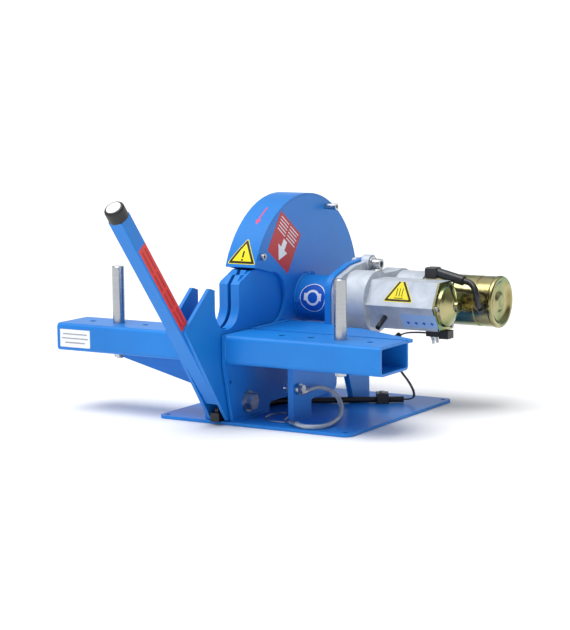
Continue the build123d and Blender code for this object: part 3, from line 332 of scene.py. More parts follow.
# Six strands laid round a core, one turn of lay every 18 mm.
strand_lay = 0.018
strand_step = 0.0015
strand_count = 6
core_radius = 0.0006
strand_radius = 0.00062
strand_offset = 0.0012
rope_frames = line_frames(even_points(line_of(tether_route), strand_step))
bm = bmesh.new()
tube_mesh(bm, rope_frames, [core_radius] * len(rope_frames), 6)
for strand in range(strand_count):
    start = 2 * math.pi * strand / strand_count
    lay_angles = [start + 2 * math.pi * i * strand_step / strand_lay for i in range(len(rope_frames))]
    tube_mesh(bm, rope_frames, [strand_radius] * len(rope_frames), 6, lay_angles, strand_offset)
tether_rope = mesh_piece(bm, "tether_rope", wire_steel)
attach(tether_rope, "frame")

sleeve_line = line_of(tether_route)


# ---------------------------------------------------------------------------
# Blue frame, guard, cradle and lever: welded mild steel plate and tube, powder coated
# in one colour, so the coat rounds every edge and shows a fine orange peel.
# ---------------------------------------------------------------------------

def paint(name, material):
    """Gives a CAD node its material."""
    mesh = nodes[name].data
    mesh.materials.clear()
    mesh.materials.append(material)


# Polyester powder coat: even satin blue with a faint gloss over it, orange peel 3 mm across
# (drawn twice as coarse as the real one so that it shows), edges softened by the coat.
powder_blue, tree = new_material("blue_polyester_powder_coat")
position = add_node(tree, "ShaderNodeTexCoord").outputs["Object"]
cloud = add_node(tree, "ShaderNodeTexNoise", {"Scale": per_metre(111), "Detail": 3.0}, {"Vector": position})
peel = add_node(tree, "ShaderNodeTexNoise", {"Scale": per_metre(3.03), "Detail": 1.0}, {"Vector": position})
specks = add_node(tree, "ShaderNodeTexNoise", {"Scale": per_metre(0.714), "Detail": 2.0},
                  {"Vector": position})
mixed = add_node(tree, "ShaderNodeMix", {"data_type": "FLOAT", "Factor": 0.18},
                 {"A": cloud.outputs["Fac"], "B": specks.outputs["Fac"]})
blue = add_node(tree, "ShaderNodeValToRGB", links={"Fac": mixed.outputs["Result"]})
blue.color_ramp.elements[0].position = 0.3
blue.color_ramp.elements[0].color = linear("#1278D0")
blue.color_ramp.elements[1].position = 0.7
blue.color_ramp.elements[1].color = linear("#1984DC")
edge = add_node(tree, "ShaderNodeBevel", {"samples": 4, "Radius": 0.0007})
skin = add_node(tree, "ShaderNodeBump", {"Strength": 0.10, "Distance": 0.0004},
                {"Height": peel.outputs["Fac"], "Normal": edge.outputs["Normal"]})
sheen_map = add_node(tree, "ShaderNodeMapRange", {"To Min": 0.36, "To Max": 0.50},
                     {"Value": cloud.outputs["Fac"]})
finish_material(tree, add_node(
    tree, "ShaderNodeBsdfPrincipled",
    {"IOR": 1.5, "Specular IOR Level": 0.32, "Coat Weight": 0.12, "Coat Roughness": 0.16},
    {"Base Color": blue.outputs["Color"], "Roughness": sheen_map.outputs["Result"],
     "Normal": skin.outputs["Normal"]},
))

for name in (
    "base_plate", "column_plate_right", "column_plate_left", "column_rear_tie", "beam_left", "beam_right",
    "table_gusset", "beam_rib", "motor_bracket", "bearing_tube", "bearing_tube_screws", "guard_shell",
    "cradle_plate_left", "cradle_plate_right", "guide_blocks", "lever_tube",
):
    paint(name, powder_blue)


# ---------------------------------------------------------------------------
# Weld seams: fillet beads where plate meets plate, laid by hand in short even ripples
# and powder coated with the frame.
# ---------------------------------------------------------------------------

def weld_bead(name, start, end, size=0.0032):
    """Rippled fillet bead along a straight joint, in millimetres, with its ends tapered."""
    first = Vector(start) / 1000
    last = Vector(end) / 1000
    ripple = 0.0034
    count = max(4, int((last - first).length / (ripple / 4)))
    points = [first.lerp(last, i / count) for i in range(count + 1)]
    radii = []
    for i in range(count + 1):
        along = i / count
        taper = min(1.0, 10 * along + 0.35, 10 * (1 - along) + 0.35)
        radii.append(size * taper * (0.88 + 0.12 * math.sin(i * math.pi / 2)))
    bm = bmesh.new()
    tube_mesh(bm, line_frames(points), radii, 10)
    bead = mesh_piece(bm, name, powder_blue)
    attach(bead, "frame")


def weld_ring(name, x, y, z, radius, size=0.0030):
    """Rippled fillet bead round a tube whose axis runs along X, in millimetres."""
    count = 180
    points = []
    for i in range(count + 1):
        angle = 2 * math.pi * i / count
        points.append(Vector((x, y + radius * math.cos(angle), z + radius * math.sin(angle))) / 1000)
    radii = [size * (0.88 + 0.12 * math.sin(i * math.pi / 2)) for i in range(count + 1)]
    bm = bmesh.new()
    tube_mesh(bm, line_frames(points), radii, 8)
    ring = mesh_piece(bm, name, powder_blue)
    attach(ring, "frame")


def corners_mm(name):
    """Lowest and highest corners of a CAD node, in millimetres."""
    return [Vector(corner) * 1000 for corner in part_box(name)]


plate_high = corners_mm("column_plate_right")[1]
left_low = corners_mm("column_plate_left")[0]
beam_low, beam_high = corners_mm("beam_right")
bracket_low, bracket_high = corners_mm("motor_bracket")
tube_low, tube_high = corners_mm("bearing_tube")
gusset_high = corners_mm("table_gusset")[1]
base_top = corners_mm("base_plate")[1].z
spindle_y, spindle_z = 58.0, 176.0
tube_seam_radius = 38
foot_front, foot_rear = -160, 130
foot_gap_front, foot_gap_rear = -70, 32
thin_bead, middle_bead = 0.002, 0.0028

weld_bead("weld_column_right_foot", (plate_high.x, foot_front, base_top),
          (plate_high.x, foot_gap_front, base_top))
weld_bead("weld_column_right_rear", (plate_high.x, foot_gap_rear, base_top),
          (plate_high.x, foot_rear, base_top))
weld_bead("weld_column_left_foot", (left_low.x, foot_front, base_top), (left_low.x, foot_rear, base_top))
weld_bead("weld_beam_right_top", (plate_high.x, beam_low.y + 9, beam_high.z - 1),
          (plate_high.x, beam_high.y, beam_high.z - 1), thin_bead)
weld_bead("weld_beam_right_front", (plate_high.x, beam_low.y + 1, beam_low.z + 8),
          (plate_high.x, beam_low.y + 1, beam_high.z - 8), thin_bead)
weld_bead("weld_beam_right_under", (plate_high.x, beam_low.y + 9, beam_low.z),
          (plate_high.x, beam_high.y - 9, beam_low.z))
weld_bead("weld_beam_left_front", (left_low.x, beam_low.y + 1, beam_low.z + 8),
          (left_low.x, beam_low.y + 1, beam_high.z - 8), thin_bead)
weld_bead("weld_beam_left_under", (left_low.x, beam_low.y + 9, beam_low.z),
          (left_low.x, beam_high.y - 9, beam_low.z))
weld_bead("weld_bracket_front", (bracket_high.x, bracket_low.y + 2, base_top),
          (bracket_high.x, bracket_low.y + 52, base_top))
weld_bead("weld_bracket_rear", (bracket_high.x, 75, base_top), (bracket_high.x, 118, base_top))
weld_bead("weld_bracket_beam", (bracket_high.x, bracket_low.y + 2, beam_low.z),
          (bracket_high.x, beam_high.y - 6, beam_low.z))
weld_bead("weld_gusset_bracket", (bracket_high.x, -4, gusset_high.z),
          (bracket_high.x, 48, gusset_high.z - 4), middle_bead)
weld_bead("weld_gusset_column", (plate_high.x, beam_high.y + 2, gusset_high.z),
          (plate_high.x, 6, gusset_high.z), middle_bead)
weld_bead("weld_bracket_inner", (bracket_low.x, -5, gusset_high.z),
          (bracket_low.x, 8, gusset_high.z), middle_bead)
weld_ring("weld_tube_cheek", plate_high.x, spindle_y, spindle_z, tube_seam_radius)
weld_ring("weld_tube_bracket", bracket_low.x, spindle_y, spindle_z, tube_seam_radius)


# ---------------------------------------------------------------------------
# Guide pins: ground and polished steel bar with a bright finish, chamfered at the top.
# Fine rings from the grinding wheel run round them. The knife, the spindle, the gears and
# the other turned parts inside have the same finish.
# ---------------------------------------------------------------------------

ground_steel, tree = new_material("ground_steel_bar")
position = add_node(tree, "ShaderNodeTexCoord").outputs["Object"]
squeeze = add_node(tree, "ShaderNodeMapping", {"Scale": (per_metre(83.3), per_metre(83.3), per_metre(0.769))},
                   {"Vector": position})
rings = add_node(tree, "ShaderNodeTexNoise", {"Scale": 1.0, "Detail": 3.0},
                 {"Vector": squeeze.outputs["Vector"]})
rough = add_node(tree, "ShaderNodeMapRange", {"To Min": 0.20, "To Max": 0.30},
                 {"Value": rings.outputs["Fac"]})
tint = add_node(tree, "ShaderNodeValToRGB", links={"Fac": rings.outputs["Fac"]})
tint.color_ramp.elements[0].color = linear("#8F9296")
tint.color_ramp.elements[1].color = linear("#C6C9CD")
score = add_node(tree, "ShaderNodeBump", {"Strength": 0.14, "Distance": 0.0002},
                 {"Height": rings.outputs["Fac"]})
finish_material(tree, add_node(
    tree, "ShaderNodeBsdfPrincipled", {"Metallic": 1.0, "Anisotropic": 0.4},
    {"Base Color": tint.outputs["Color"], "Roughness": rough.outputs["Result"],
     "Normal": score.outputs["Normal"]},
))
for name in ("guide_pins", "spindle", "blade", "blade_flanges", "blade_nut", "spindle_bearings", "pivot_bush",
             "drive_gear", "idler_gear", "idler_pin", "armature", "solenoid_plunger"):
    paint(name, ground_steel)
paint("tether_ring", wire_steel)


# ---------------------------------------------------------------------------
# Fasteners: steel screws, nuts and washers, bright zinc plated, pale and a little blue,
# with the soft mottling of the plating bath.
# ---------------------------------------------------------------------------

bright_zinc, tree = new_material("bright_zinc_plated_steel")
position = add_node(tree, "ShaderNodeTexCoord").outputs["Object"]
bath = add_node(tree, "ShaderNodeTexNoise", {"Scale": per_metre(6.25), "Detail": 4.0}, {"Vector": position})
tint = add_node(tree, "ShaderNodeValToRGB", links={"Fac": bath.outputs["Fac"]})
tint.color_ramp.elements[0].position = 0.35
tint.color_ramp.elements[0].color = linear("#A5ABB1")
tint.color_ramp.elements[1].position = 0.65
tint.color_ramp.elements[1].color = linear("#D3D6D6")
rough = add_node(tree, "ShaderNodeMapRange", {"To Min": 0.24, "To Max": 0.42},
                 {"Value": bath.outputs["Fac"]})
edge = add_node(tree, "ShaderNodeBevel", {"samples": 4, "Radius": 0.0004})
finish_material(tree, add_node(
    tree, "ShaderNodeBsdfPrincipled", {"Metallic": 1.0},
    {"Base Color": tint.outputs["Color"], "Roughness": rough.outputs["Result"],
     "Normal": edge.outputs["Normal"]},
))
for name in ("guard_bolts", "guard_tie_spacers", "guide_pin_nuts", "pivot_bolt", "pivot_nut_washers",
             "flange_bolts", "solenoid_cover_screws", "terminal_nuts", "tether_bolt", "tether_eye",
             "tether_ferrule", "conduit_clamp_screw"):
    paint(name, bright_zinc)


# ---------------------------------------------------------------------------
# Drive-end housing: pressure die-cast aluminium, unpainted. Its skin is pale grey and matt,
# with a fine sandy grain and slight flow marks from the die. The oxide on it scatters most
# of the light, so it looks only partly metallic.
# ---------------------------------------------------------------------------

cast_aluminium, tree = new_material("die_cast_aluminium")
position = add_node(tree, "ShaderNodeTexCoord").outputs["Object"]
sand = add_node(tree, "ShaderNodeTexNoise", {"Scale": per_metre(0.909), "Detail": 3.0},
                {"Vector": position})
flow = add_node(tree, "ShaderNodeTexNoise", {"Scale": per_metre(35.7), "Detail": 5.0, "Distortion": 1.2},
                {"Vector": position})
tint = add_node(tree, "ShaderNodeValToRGB", links={"Fac": flow.outputs["Fac"]})
tint.color_ramp.elements[0].position = 0.3
tint.color_ramp.elements[0].color = linear("#AEB7C2")
tint.color_ramp.elements[1].position = 0.75
tint.color_ramp.elements[1].color = linear("#CDD4DD")
rough = add_node(tree, "ShaderNodeMapRange", {"To Min": 0.46, "To Max": 0.64},
                 {"Value": flow.outputs["Fac"]})
edge = add_node(tree, "ShaderNodeBevel", {"samples": 4, "Radius": 0.0016})
skin = add_node(tree, "ShaderNodeBump", {"Strength": 0.25, "Distance": 0.0003},
                {"Height": sand.outputs["Fac"], "Normal": edge.outputs["Normal"]})
finish_material(tree, add_node(
    tree, "ShaderNodeBsdfPrincipled", {"Metallic": 0.35},
    {"Base Color": tint.outputs["Color"], "Roughness": rough.outputs["Result"],
     "Normal": skin.outputs["Normal"]},
))
paint("drive_end_housing", cast_aluminium)


# ---------------------------------------------------------------------------
# Solenoid cover, motor yoke and end cap: deep-drawn steel, zinc plated and yellow chromated.
# The chromate film goes from straw to gold, green and rose in slow patches.
# ---------------------------------------------------------------------------

yellow_chromate, tree = new_material("yellow_chromated_zinc")
position = add_node(tree, "ShaderNodeTexCoord").outputs["Object"]
patch = add_node(tree, "ShaderNodeTexNoise", {"Scale": per_metre(58.8), "Detail": 2.0, "Distortion": 0.6},
                 {"Vector": position})
facing = add_node(tree, "ShaderNodeLayerWeight", {"Blend": 0.35})
blend = add_node(tree, "ShaderNodeMix", {"data_type": "FLOAT", "Factor": 0.45},
                 {"A": patch.outputs["Fac"], "B": facing.outputs["Facing"]})
film = add_node(tree, "ShaderNodeValToRGB", links={"Fac": blend.outputs["Result"]})
film.color_ramp.elements[0].position = 0.2
film.color_ramp.elements[0].color = linear("#8A8152")
film.color_ramp.elements[1].position = 0.8
film.color_ramp.elements[1].color = linear("#62644A")
for place, code in ((0.38, "#B4AB80"), (0.5, "#8A9460"), (0.6, "#62846A"), (0.7, "#9C7468")):
    film.color_ramp.elements.new(place).color = linear(code)
rough = add_node(tree, "ShaderNodeMapRange", {"To Min": 0.14, "To Max": 0.26},
                 {"Value": patch.outputs["Fac"]})
edge = add_node(tree, "ShaderNodeBevel", {"samples": 4, "Radius": 0.001})
finish_material(tree, add_node(
    tree, "ShaderNodeBsdfPrincipled", {"Metallic": 1.0},
    {"Base Color": film.outputs["Color"], "Roughness": rough.outputs["Result"],
     "Normal": edge.outputs["Normal"]},
))
for name in ("solenoid_cover", "motor_yoke"):
    paint(name, yellow_chromate)


def pressed_dish(name, profile, x_from, y, z, material, steps=96):
    """Pressed round piece about an axis along X, from its (radius, x) profile in millimetres."""
    bm = bmesh.new()
    rings = []
    for radius, x in profile:
        ring = []
        for i in range(steps):
            turn = 2 * math.pi * i / steps
            place = Vector((x_from + x, y + radius * math.cos(turn), z + radius * math.sin(turn)))
            ring.append(bm.verts.new(place / 1000))
        rings.append(ring)
    for inner, outer in zip(rings, rings[1:]):
        for i in range(steps):
            j = (i + 1) % steps
            bm.faces.new((inner[i], outer[i], outer[j], inner[j]))
    bm.faces.new(rings[0])
    bm.faces.new(rings[-1])
    return mesh_piece(bm, name, material)


# End cap: a rolled rim, a deep dish and a small raised hub over the rear bush. The profile
# runs from the back edge out over the rim and in to the middle of the hub.
cap_low, cap_high = corners_mm("motor_end_cap")
cap_radius = (cap_high.z - cap_low.z) / 2
cap_depth = cap_high.x - cap_low.x
dish_profile = [
    (cap_radius - 3, 0), (cap_radius - 0.2, 0.1), (cap_radius, 0.5), (cap_radius, cap_depth - 3.2),
    (cap_radius - 0.5, cap_depth - 1.6), (cap_radius - 1.6, cap_depth - 0.5), (cap_radius - 3.2, cap_depth),
    (cap_radius - 5.2, cap_depth - 0.2), (cap_radius - 7, cap_depth - 1.2),
    (cap_radius - 9.5, cap_depth - 3.6), (cap_radius - 12.5, cap_depth - 5.8),
    (cap_radius - 17, cap_depth - 6.9), (cap_radius - 23, cap_depth - 7.1),
    (17, cap_depth - 6.7), (14.5, cap_depth - 5.2), (12.6, cap_depth - 2.8), (11, cap_depth - 1.7),
    (8.6, cap_depth - 1.5), (7, cap_depth - 2.3), (4, cap_depth - 2.8), (0.5, cap_depth - 2.9),
]
end_cap = pressed_dish("end_cap_dish", dish_profile, cap_low.x, (cap_low.y + cap_high.y) / 2,
                       (cap_low.z + cap_high.z) / 2, yellow_chromate)
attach(end_cap, "frame")
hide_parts("motor_end_cap")


# ---------------------------------------------------------------------------
# Rubber boot, grommet, leads and drain tube: moulded EPDM and flexible PVC, bluish black
# and nearly clean, so they show soft highlights.
# ---------------------------------------------------------------------------

black_rubber, tree = new_material("moulded_epdm_rubber")
position = add_node(tree, "ShaderNodeTexCoord").outputs["Object"]
dust = add_node(tree, "ShaderNodeTexNoise", {"Scale": per_metre(4.17), "Detail": 5.0}, {"Vector": position})
tint = add_node(tree, "ShaderNodeValToRGB", links={"Fac": dust.outputs["Fac"]})
tint.color_ramp.elements[0].position = 0.35
tint.color_ramp.elements[0].color = linear("#0F1216")
tint.color_ramp.elements[1].position = 0.7
tint.color_ramp.elements[1].color = linear("#20252B")
rough = add_node(tree, "ShaderNodeMapRange", {"To Min": 0.28, "To Max": 0.44},
                 {"Value": dust.outputs["Fac"]})
skin = add_node(tree, "ShaderNodeBump", {"Strength": 0.15, "Distance": 0.0002},
                {"Height": dust.outputs["Fac"]})
finish_material(tree, add_node(
    tree, "ShaderNodeBsdfPrincipled", {"IOR": 1.52},
    {"Base Color": tint.outputs["Color"], "Roughness": rough.outputs["Result"],
     "Normal": skin.outputs["Normal"]},
))
for name in ("terminal_boot", "lead_grommet", "motor_lead", "control_wires", "drain_tube"):
    paint(name, black_rubber)


# ---------------------------------------------------------------------------
# Black nylon parts: terminal block, conduit clamp, switch, brush holder and the cap on the
# lever. Injection moulded PA6 with a light spark-eroded grain of about 0.4 mm, drawn half
# as coarse again so that it shows.
# ---------------------------------------------------------------------------

black_nylon, tree = new_material("moulded_black_pa6")
position = add_node(tree, "ShaderNodeTexCoord").outputs["Object"]
erode = add_node(tree, "ShaderNodeTexNoise", {"Scale": per_metre(0.625), "Detail": 2.0},
                 {"Vector": position})
broad = add_node(tree, "ShaderNodeTexNoise", {"Scale": per_metre(22.2), "Detail": 3.0},
                 {"Vector": position})
tint = add_node(tree, "ShaderNodeValToRGB", links={"Fac": broad.outputs["Fac"]})
tint.color_ramp.elements[0].color = linear("#0E0F10")
tint.color_ramp.elements[1].color = linear("#1F2022")
rough = add_node(tree, "ShaderNodeMapRange", {"To Min": 0.34, "To Max": 0.50},
                 {"Value": broad.outputs["Fac"]})
edge = add_node(tree, "ShaderNodeBevel", {"samples": 4, "Radius": 0.0008})
skin = add_node(tree, "ShaderNodeBump", {"Strength": 0.2, "Distance": 0.0002},
                {"Height": erode.outputs["Fac"], "Normal": edge.outputs["Normal"]})
finish_material(tree, add_node(
    tree, "ShaderNodeBsdfPrincipled", {"IOR": 1.53},
    {"Base Color": tint.outputs["Color"], "Roughness": rough.outputs["Result"],
     "Normal": skin.outputs["Normal"]},
))
for name in ("lever_cap", "terminal_block", "conduit_clamp", "switch_body", "switch_button", "brush_holder"):
    paint(name, black_nylon)


# ---------------------------------------------------------------------------
# Solenoid coil and field magnets: enamelled copper wire and dark ferrite, both out of sight
# inside the starter.
# ---------------------------------------------------------------------------

enamelled_copper, tree = new_material("enamelled_copper_wire")
position = add_node(tree, "ShaderNodeTexCoord").outputs["Object"]
winding = add_node(tree, "ShaderNodeTexWave", {"Scale": per_metre(2.38), "Distortion": 0.4},
                   {"Vector": position})
tint = add_node(tree, "ShaderNodeValToRGB", links={"Fac": winding.outputs["Fac"]})
tint.color_ramp.elements[0].color = linear("#6B2F16")
tint.color_ramp.elements[1].color = linear("#B4622F")
finish_material(tree, add_node(tree, "ShaderNodeBsdfPrincipled", {"Metallic": 1.0, "Roughness": 0.3},
                               {"Base Color": tint.outputs["Color"]}))
paint("solenoid_coil", enamelled_copper)

sintered_ferrite, tree = new_material("sintered_ferrite")
position = add_node(tree, "ShaderNodeTexCoord").outputs["Object"]
grain = add_node(tree, "ShaderNodeTexNoise", {"Scale": per_metre(1.43), "Detail": 3.0},
                 {"Vector": position})
tint = add_node(tree, "ShaderNodeValToRGB", links={"Fac": grain.outputs["Fac"]})
tint.color_ramp.elements[0].color = linear("#2A2B2E")
tint.color_ramp.elements[1].color = linear("#43454A")
finish_material(tree, add_node(tree, "ShaderNodeBsdfPrincipled", {"Roughness": 0.6},
                               {"Base Color": tint.outputs["Color"]}))
paint("field_magnets", sintered_ferrite)


# ---------------------------------------------------------------------------
# Conduit: corrugated black nylon hose, 11 mm outside, one ring every 3.2 mm, that carries the
# control wires along the base plate.
# ---------------------------------------------------------------------------

conduit_low = corners_mm("conduit")[0]
conduit_radius = 0.0055
conduit_pitch = 0.0032
conduit_depth = 0.0009
conduit_steps = 6
groove_start, groove_end = 0.33, 0.84
conduit_z = conduit_low.z + conduit_radius * 1000
conduit_route = [
    (-61, -152, conduit_z), (-61, -100, conduit_z), (-61, -50, conduit_z), (-61, -30, conduit_z),
    (-56, -6, conduit_z), (-40, 7, conduit_z), (-24, 17, conduit_z), (20, 44.3, conduit_z),
    (70, 75.2, conduit_z), (120, 106, conduit_z),
]
ring_points = even_points(line_of(conduit_route), conduit_pitch / conduit_steps)
ring_frames = line_frames(ring_points)
ring_radii = []
for i in range(len(ring_frames)):
    phase = (i % conduit_steps) / conduit_steps
    ring_radii.append(conduit_radius - (conduit_depth if groove_start < phase < groove_end else 0.0))
bm = bmesh.new()
tube_mesh(bm, ring_frames, ring_radii, 20)
conduit_hose = mesh_piece(bm, "conduit_hose", black_nylon)
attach(conduit_hose, "frame")
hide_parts("conduit")


# ---------------------------------------------------------------------------
# Wire sleeve: a short heat-shrunk sleeve that gathers the control wires where they pass
# under the starter.
# ---------------------------------------------------------------------------

sleeve_route = [(125.5, 58, 98), (125, 58, 104), (127, 58, 112), (132, 57.5, 120), (139, 57, 125.5)]
sleeve_radius = 0.0045
sleeve_frames = line_frames(even_points(line_of(sleeve_route), 0.002))
bm = bmesh.new()
tube_mesh(bm, sleeve_frames, [sleeve_radius] * len(sleeve_frames), 16)
wire_sleeve = mesh_piece(bm, "wire_sleeve", black_rubber)
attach(wire_sleeve, "frame")


# ---------------------------------------------------------------------------
# Labels: die-cut vinyl film, printed in flat colours and pressed onto the paint. They carry
# plain shapes only: a bar and a dot, bars, rings and arrows.
# ---------------------------------------------------------------------------

vinyl_roughness = 0.32


def vinyl(name, dark, light):
    """Printed vinyl film: slightly satin, with the faint cloudiness of the print."""
    material, tree = new_material(name)
    position = add_node(tree, "ShaderNodeTexCoord").outputs["Object"]
    print_grain = add_node(tree, "ShaderNodeTexNoise", {"Scale": per_metre(8.33), "Detail": 3.0},
                           {"Vector": position})
    ink = add_node(tree, "ShaderNodeValToRGB", links={"Fac": print_grain.outputs["Fac"]})
    ink.color_ramp.elements[0].color = linear(dark)
    ink.color_ramp.elements[1].color = linear(light)
    satin = add_node(
        tree, "ShaderNodeMapRange", {"To Min": vinyl_roughness, "To Max": vinyl_roughness + 0.12},
        {"Value": print_grain.outputs["Fac"]},
    )
    finish_material(tree, add_node(
        tree, "ShaderNodeBsdfPrincipled", {"IOR": 1.46},
        {"Base Color": ink.outputs["Color"], "Roughness": satin.outputs["Result"]},
    ))
    return material


yellow_vinyl = vinyl("yellow_printed_vinyl", "#EFD90F", "#FAEC2A")
black_vinyl = vinyl("black_printed_vinyl", "#1A180E", "#2B2817")
red_vinyl = vinyl("red_printed_vinyl", "#C01C26", "#CE2830")
scarlet_vinyl = vinyl("scarlet_printed_vinyl", "#DE2A1E", "#EC3D2C")
dark_red_vinyl = vinyl("dark_red_printed_vinyl", "#A81E1A", "#B92822")
pink_vinyl = vinyl("pink_printed_vinyl", "#D83A6C", "#E85484")
# White film: the white print of the labels, and also the painted highlight on the lever's cap.
white_vinyl_and_highlight = vinyl("white_printed_vinyl_and_painted_highlight", "#EDEFF2", "#FAFBFC")
signal_blue_vinyl = vinyl("signal_blue_printed_vinyl", "#0A57BE", "#1163CC")
pale_blue_vinyl = vinyl("pale_blue_printed_vinyl", "#8FB2E0", "#9CBDE8")
grey_vinyl = vinyl("grey_printed_vinyl", "#8D97A3", "#A2ACB8")

film_thickness = 0.12
film_bite = 0.9


def film_layer(name, outline, material, place, level, body, cell=4.0):
    """Closed film of one colour: an outline in millimetres, laid on a surface by place(u, v, height)."""
    bm = bmesh.new()
    bottom = [bm.verts.new((u, v, 0)) for u, v in outline]
    face = bm.faces.new(bottom)
    if face.normal.z < 0:
        face.normal_flip()
    low_u = min(u for u, v in outline)
    high_u = max(u for u, v in outline)
    low_v = min(v for u, v in outline)
    high_v = max(v for u, v in outline)
    for axis, low, high in ((0, low_u, high_u), (1, low_v, high_v)):
        count = int((high - low) / cell)
        for i in range(1, count + 1):
            cut = [0, 0, 0]
            cut[axis] = low + (high - low) * i / (count + 1)
            normal = [0, 0, 0]
            normal[axis] = 1
            geometry = bm.verts[:] + bm.edges[:] + bm.faces[:]
            bmesh.ops.bisect_plane(bm, geom=geometry, plane_co=cut, plane_no=normal)
    raised = bmesh.ops.extrude_face_region(bm, geom=bm.faces[:])
    for part in raised["geom"]:
        if isinstance(part, bmesh.types.BMVert):
            part.co.z = film_thickness
    for vert in bm.verts:
        height = vert.co.z + level * film_thickness * film_bite
        vert.co = Vector(place(vert.co.x, vert.co.y, height)) / 1000
    film = mesh_piece(bm, name, material, smooth=False)
    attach(film, body)


def box_outline(u, v, width, height):
    """Rectangle about a middle point."""
    return [(u - width / 2, v - height / 2), (u + width / 2, v - height / 2),
            (u + width / 2, v + height / 2), (u - width / 2, v + height / 2)]


def disc_outline(u, v, radius, steps=48):
    """Circle about a middle point."""
    return [(u + radius * math.cos(2 * math.pi * i / steps), v + radius * math.sin(2 * math.pi * i / steps))
            for i in range(steps)]


def triangle_outline(side, corner):
    """Triangle that stands on its base, centred on its middle, with rounded corners."""
    centre_r = side / math.sqrt(3) - 2 * corner
    outline = []
    for k in range(3):
        turn = math.radians(90 + 120 * k)
        u, v = centre_r * math.cos(turn), centre_r * math.sin(turn)
        for i in range(7):
            angle = turn + math.radians(-60 + 20 * i)
            outline.append((u + corner * math.cos(angle), v + corner * math.sin(angle)))
    return outline


def turned(outline, degrees, u0=0.0, v0=0.0):
    """Outline turned about its own origin, then moved."""
    c, s = math.cos(math.radians(degrees)), math.sin(math.radians(degrees))
    return [(u0 + u * c - v * s, v0 + u * s + v * c) for u, v in outline]


def caution_label(prefix, side, place, body):
    """Yellow triangle with a black border and a plain bar and dot."""
    film_layer(prefix + "_ground", triangle_outline(side, 2.2), yellow_vinyl, place, 0, body)
    film_layer(prefix + "_border", triangle_outline(side - 4, 1.6), black_vinyl, place, 1, body)
    film_layer(prefix + "_field", triangle_outline(side - 17, 0.8), yellow_vinyl, place, 2, body)
    film_layer(prefix + "_bar", box_outline(0, 1.5, 3.0, 11), black_vinyl, place, 3, body)
    film_layer(prefix + "_dot", disc_outline(0, -8, 1.8, 16), black_vinyl, place, 3, body)


guard_radius = corners_mm("guard_shell")[1].z - spindle_z


def on_rim(centre_x, centre_angle):
    """Places a label on the guard's rim: u runs along X and v up round the rim."""
    def place(u, v, height):
        angle = math.radians(centre_angle) - v / guard_radius
        radius = guard_radius + height
        return (centre_x + u, spindle_y + radius * math.cos(angle), spindle_z + radius * math.sin(angle))
    return place


caution_label("rim_caution", 53, on_rim(-61.5, 151.3), "frame")

arrow = [(-1.3, -19), (1.3, -19), (1.3, 14), (5, 13), (0, 25), (-5, 13), (-1.3, 14)]
film_layer("rim_arrow", turned(arrow, 180), pink_vinyl, on_rim(-60, 123.5), 0, "frame")

# Red square on the cheek, standing on a corner, with white bars and an arrow.
cheek_x = plate_high.x
cheek_y, cheek_z = -10.6, 272.9
cheek_turn = -35.5


def on_cheek(u, v, height):
    """Places a label on the guard's right cheek."""
    return (cheek_x + height, cheek_y + u, cheek_z + v)


film_layer("cheek_red", turned(box_outline(0, 0, 75, 74), cheek_turn), red_vinyl, on_cheek, 0, "frame")
for number, v in enumerate((31, 25.5, 20, 14.5, 9)):
    for side, (start, end) in (("a", (-31, -4)), ("b", (1, 31 - 3 * (number % 2)))):
        line = box_outline((start + end) / 2, v, end - start, 1.7)
        film_layer(f"cheek_line_{number}{side}", turned(line, cheek_turn), white_vinyl_and_highlight, on_cheek, 1, "frame")
cheek_arrow = [(-5, 4), (-5, -11), (-15, -11), (1, -33), (17, -11), (7, -11), (7, 4)]
film_layer("cheek_arrow", turned(cheek_arrow, cheek_turn), white_vinyl_and_highlight, on_cheek, 1, "frame")


# Blue disc with a white ring on the front of the bearing tube.
tube_radius = (tube_high.z - tube_low.z) / 2
tube_label_x = -1.5
tube_label_angle = 172


def on_tube(u, v, height):
    """Places a label round the front of the bearing tube."""
    angle = math.radians(tube_label_angle) - v / tube_radius
    radius = tube_radius + height
    return (tube_label_x + u, spindle_y + radius * math.cos(angle), spindle_z + radius * math.sin(angle))


film_layer("tube_label_edge", disc_outline(0, 0, 24), white_vinyl_and_highlight, on_tube, 0, "frame")
film_layer("tube_label_blue", disc_outline(0, 0, 22.6), signal_blue_vinyl, on_tube, 1, "frame")
film_layer("tube_label_ring", disc_outline(0, 0, 13), white_vinyl_and_highlight, on_tube, 2, "frame")
film_layer("tube_label_middle", disc_outline(0, 0, 9), signal_blue_vinyl, on_tube, 3, "frame")
film_layer("tube_label_left", box_outline(-13, 1, 6, 12), white_vinyl_and_highlight, on_tube, 4, "frame")
film_layer("tube_label_right", box_outline(13, 1, 6, 12), white_vinyl_and_highlight, on_tube, 4, "frame")


# Hot-surface triangle and pale blue plate on the solenoid case's two front facets.
facet_ridge_y = spindle_y - 44.5
facet_run, facet_rise = 0.5, 0.866
hot_x, hot_up = 156, 24
plate_x, plate_down = 190, 26


def on_upper_facet(u, v, height):
    """Places a label on the facet above the ridge."""
    up = v + hot_up
    y = facet_ridge_y + facet_run * up - facet_rise * height
    return (hot_x + u, y, spindle_z + facet_rise * up + facet_run * height)


def on_lower_facet(u, v, height):
    """Places a label on the facet below the ridge."""
    down = plate_down - v
    y = facet_ridge_y + facet_run * down - facet_rise * height
    return (plate_x + u, y, spindle_z - facet_rise * down - facet_run * height)


def clipped(outline, top):
    """Outline clipped along a level line."""
    kept = []
    for (u0, v0), (u1, v1) in zip(outline, outline[1:] + outline[:1]):
        if v0 <= top:
            kept.append((u0, v0))
        if (v0 <= top) != (v1 <= top):
            t = (top - v0) / (v1 - v0)
            kept.append((u0 + t * (u1 - u0), top))
    return kept


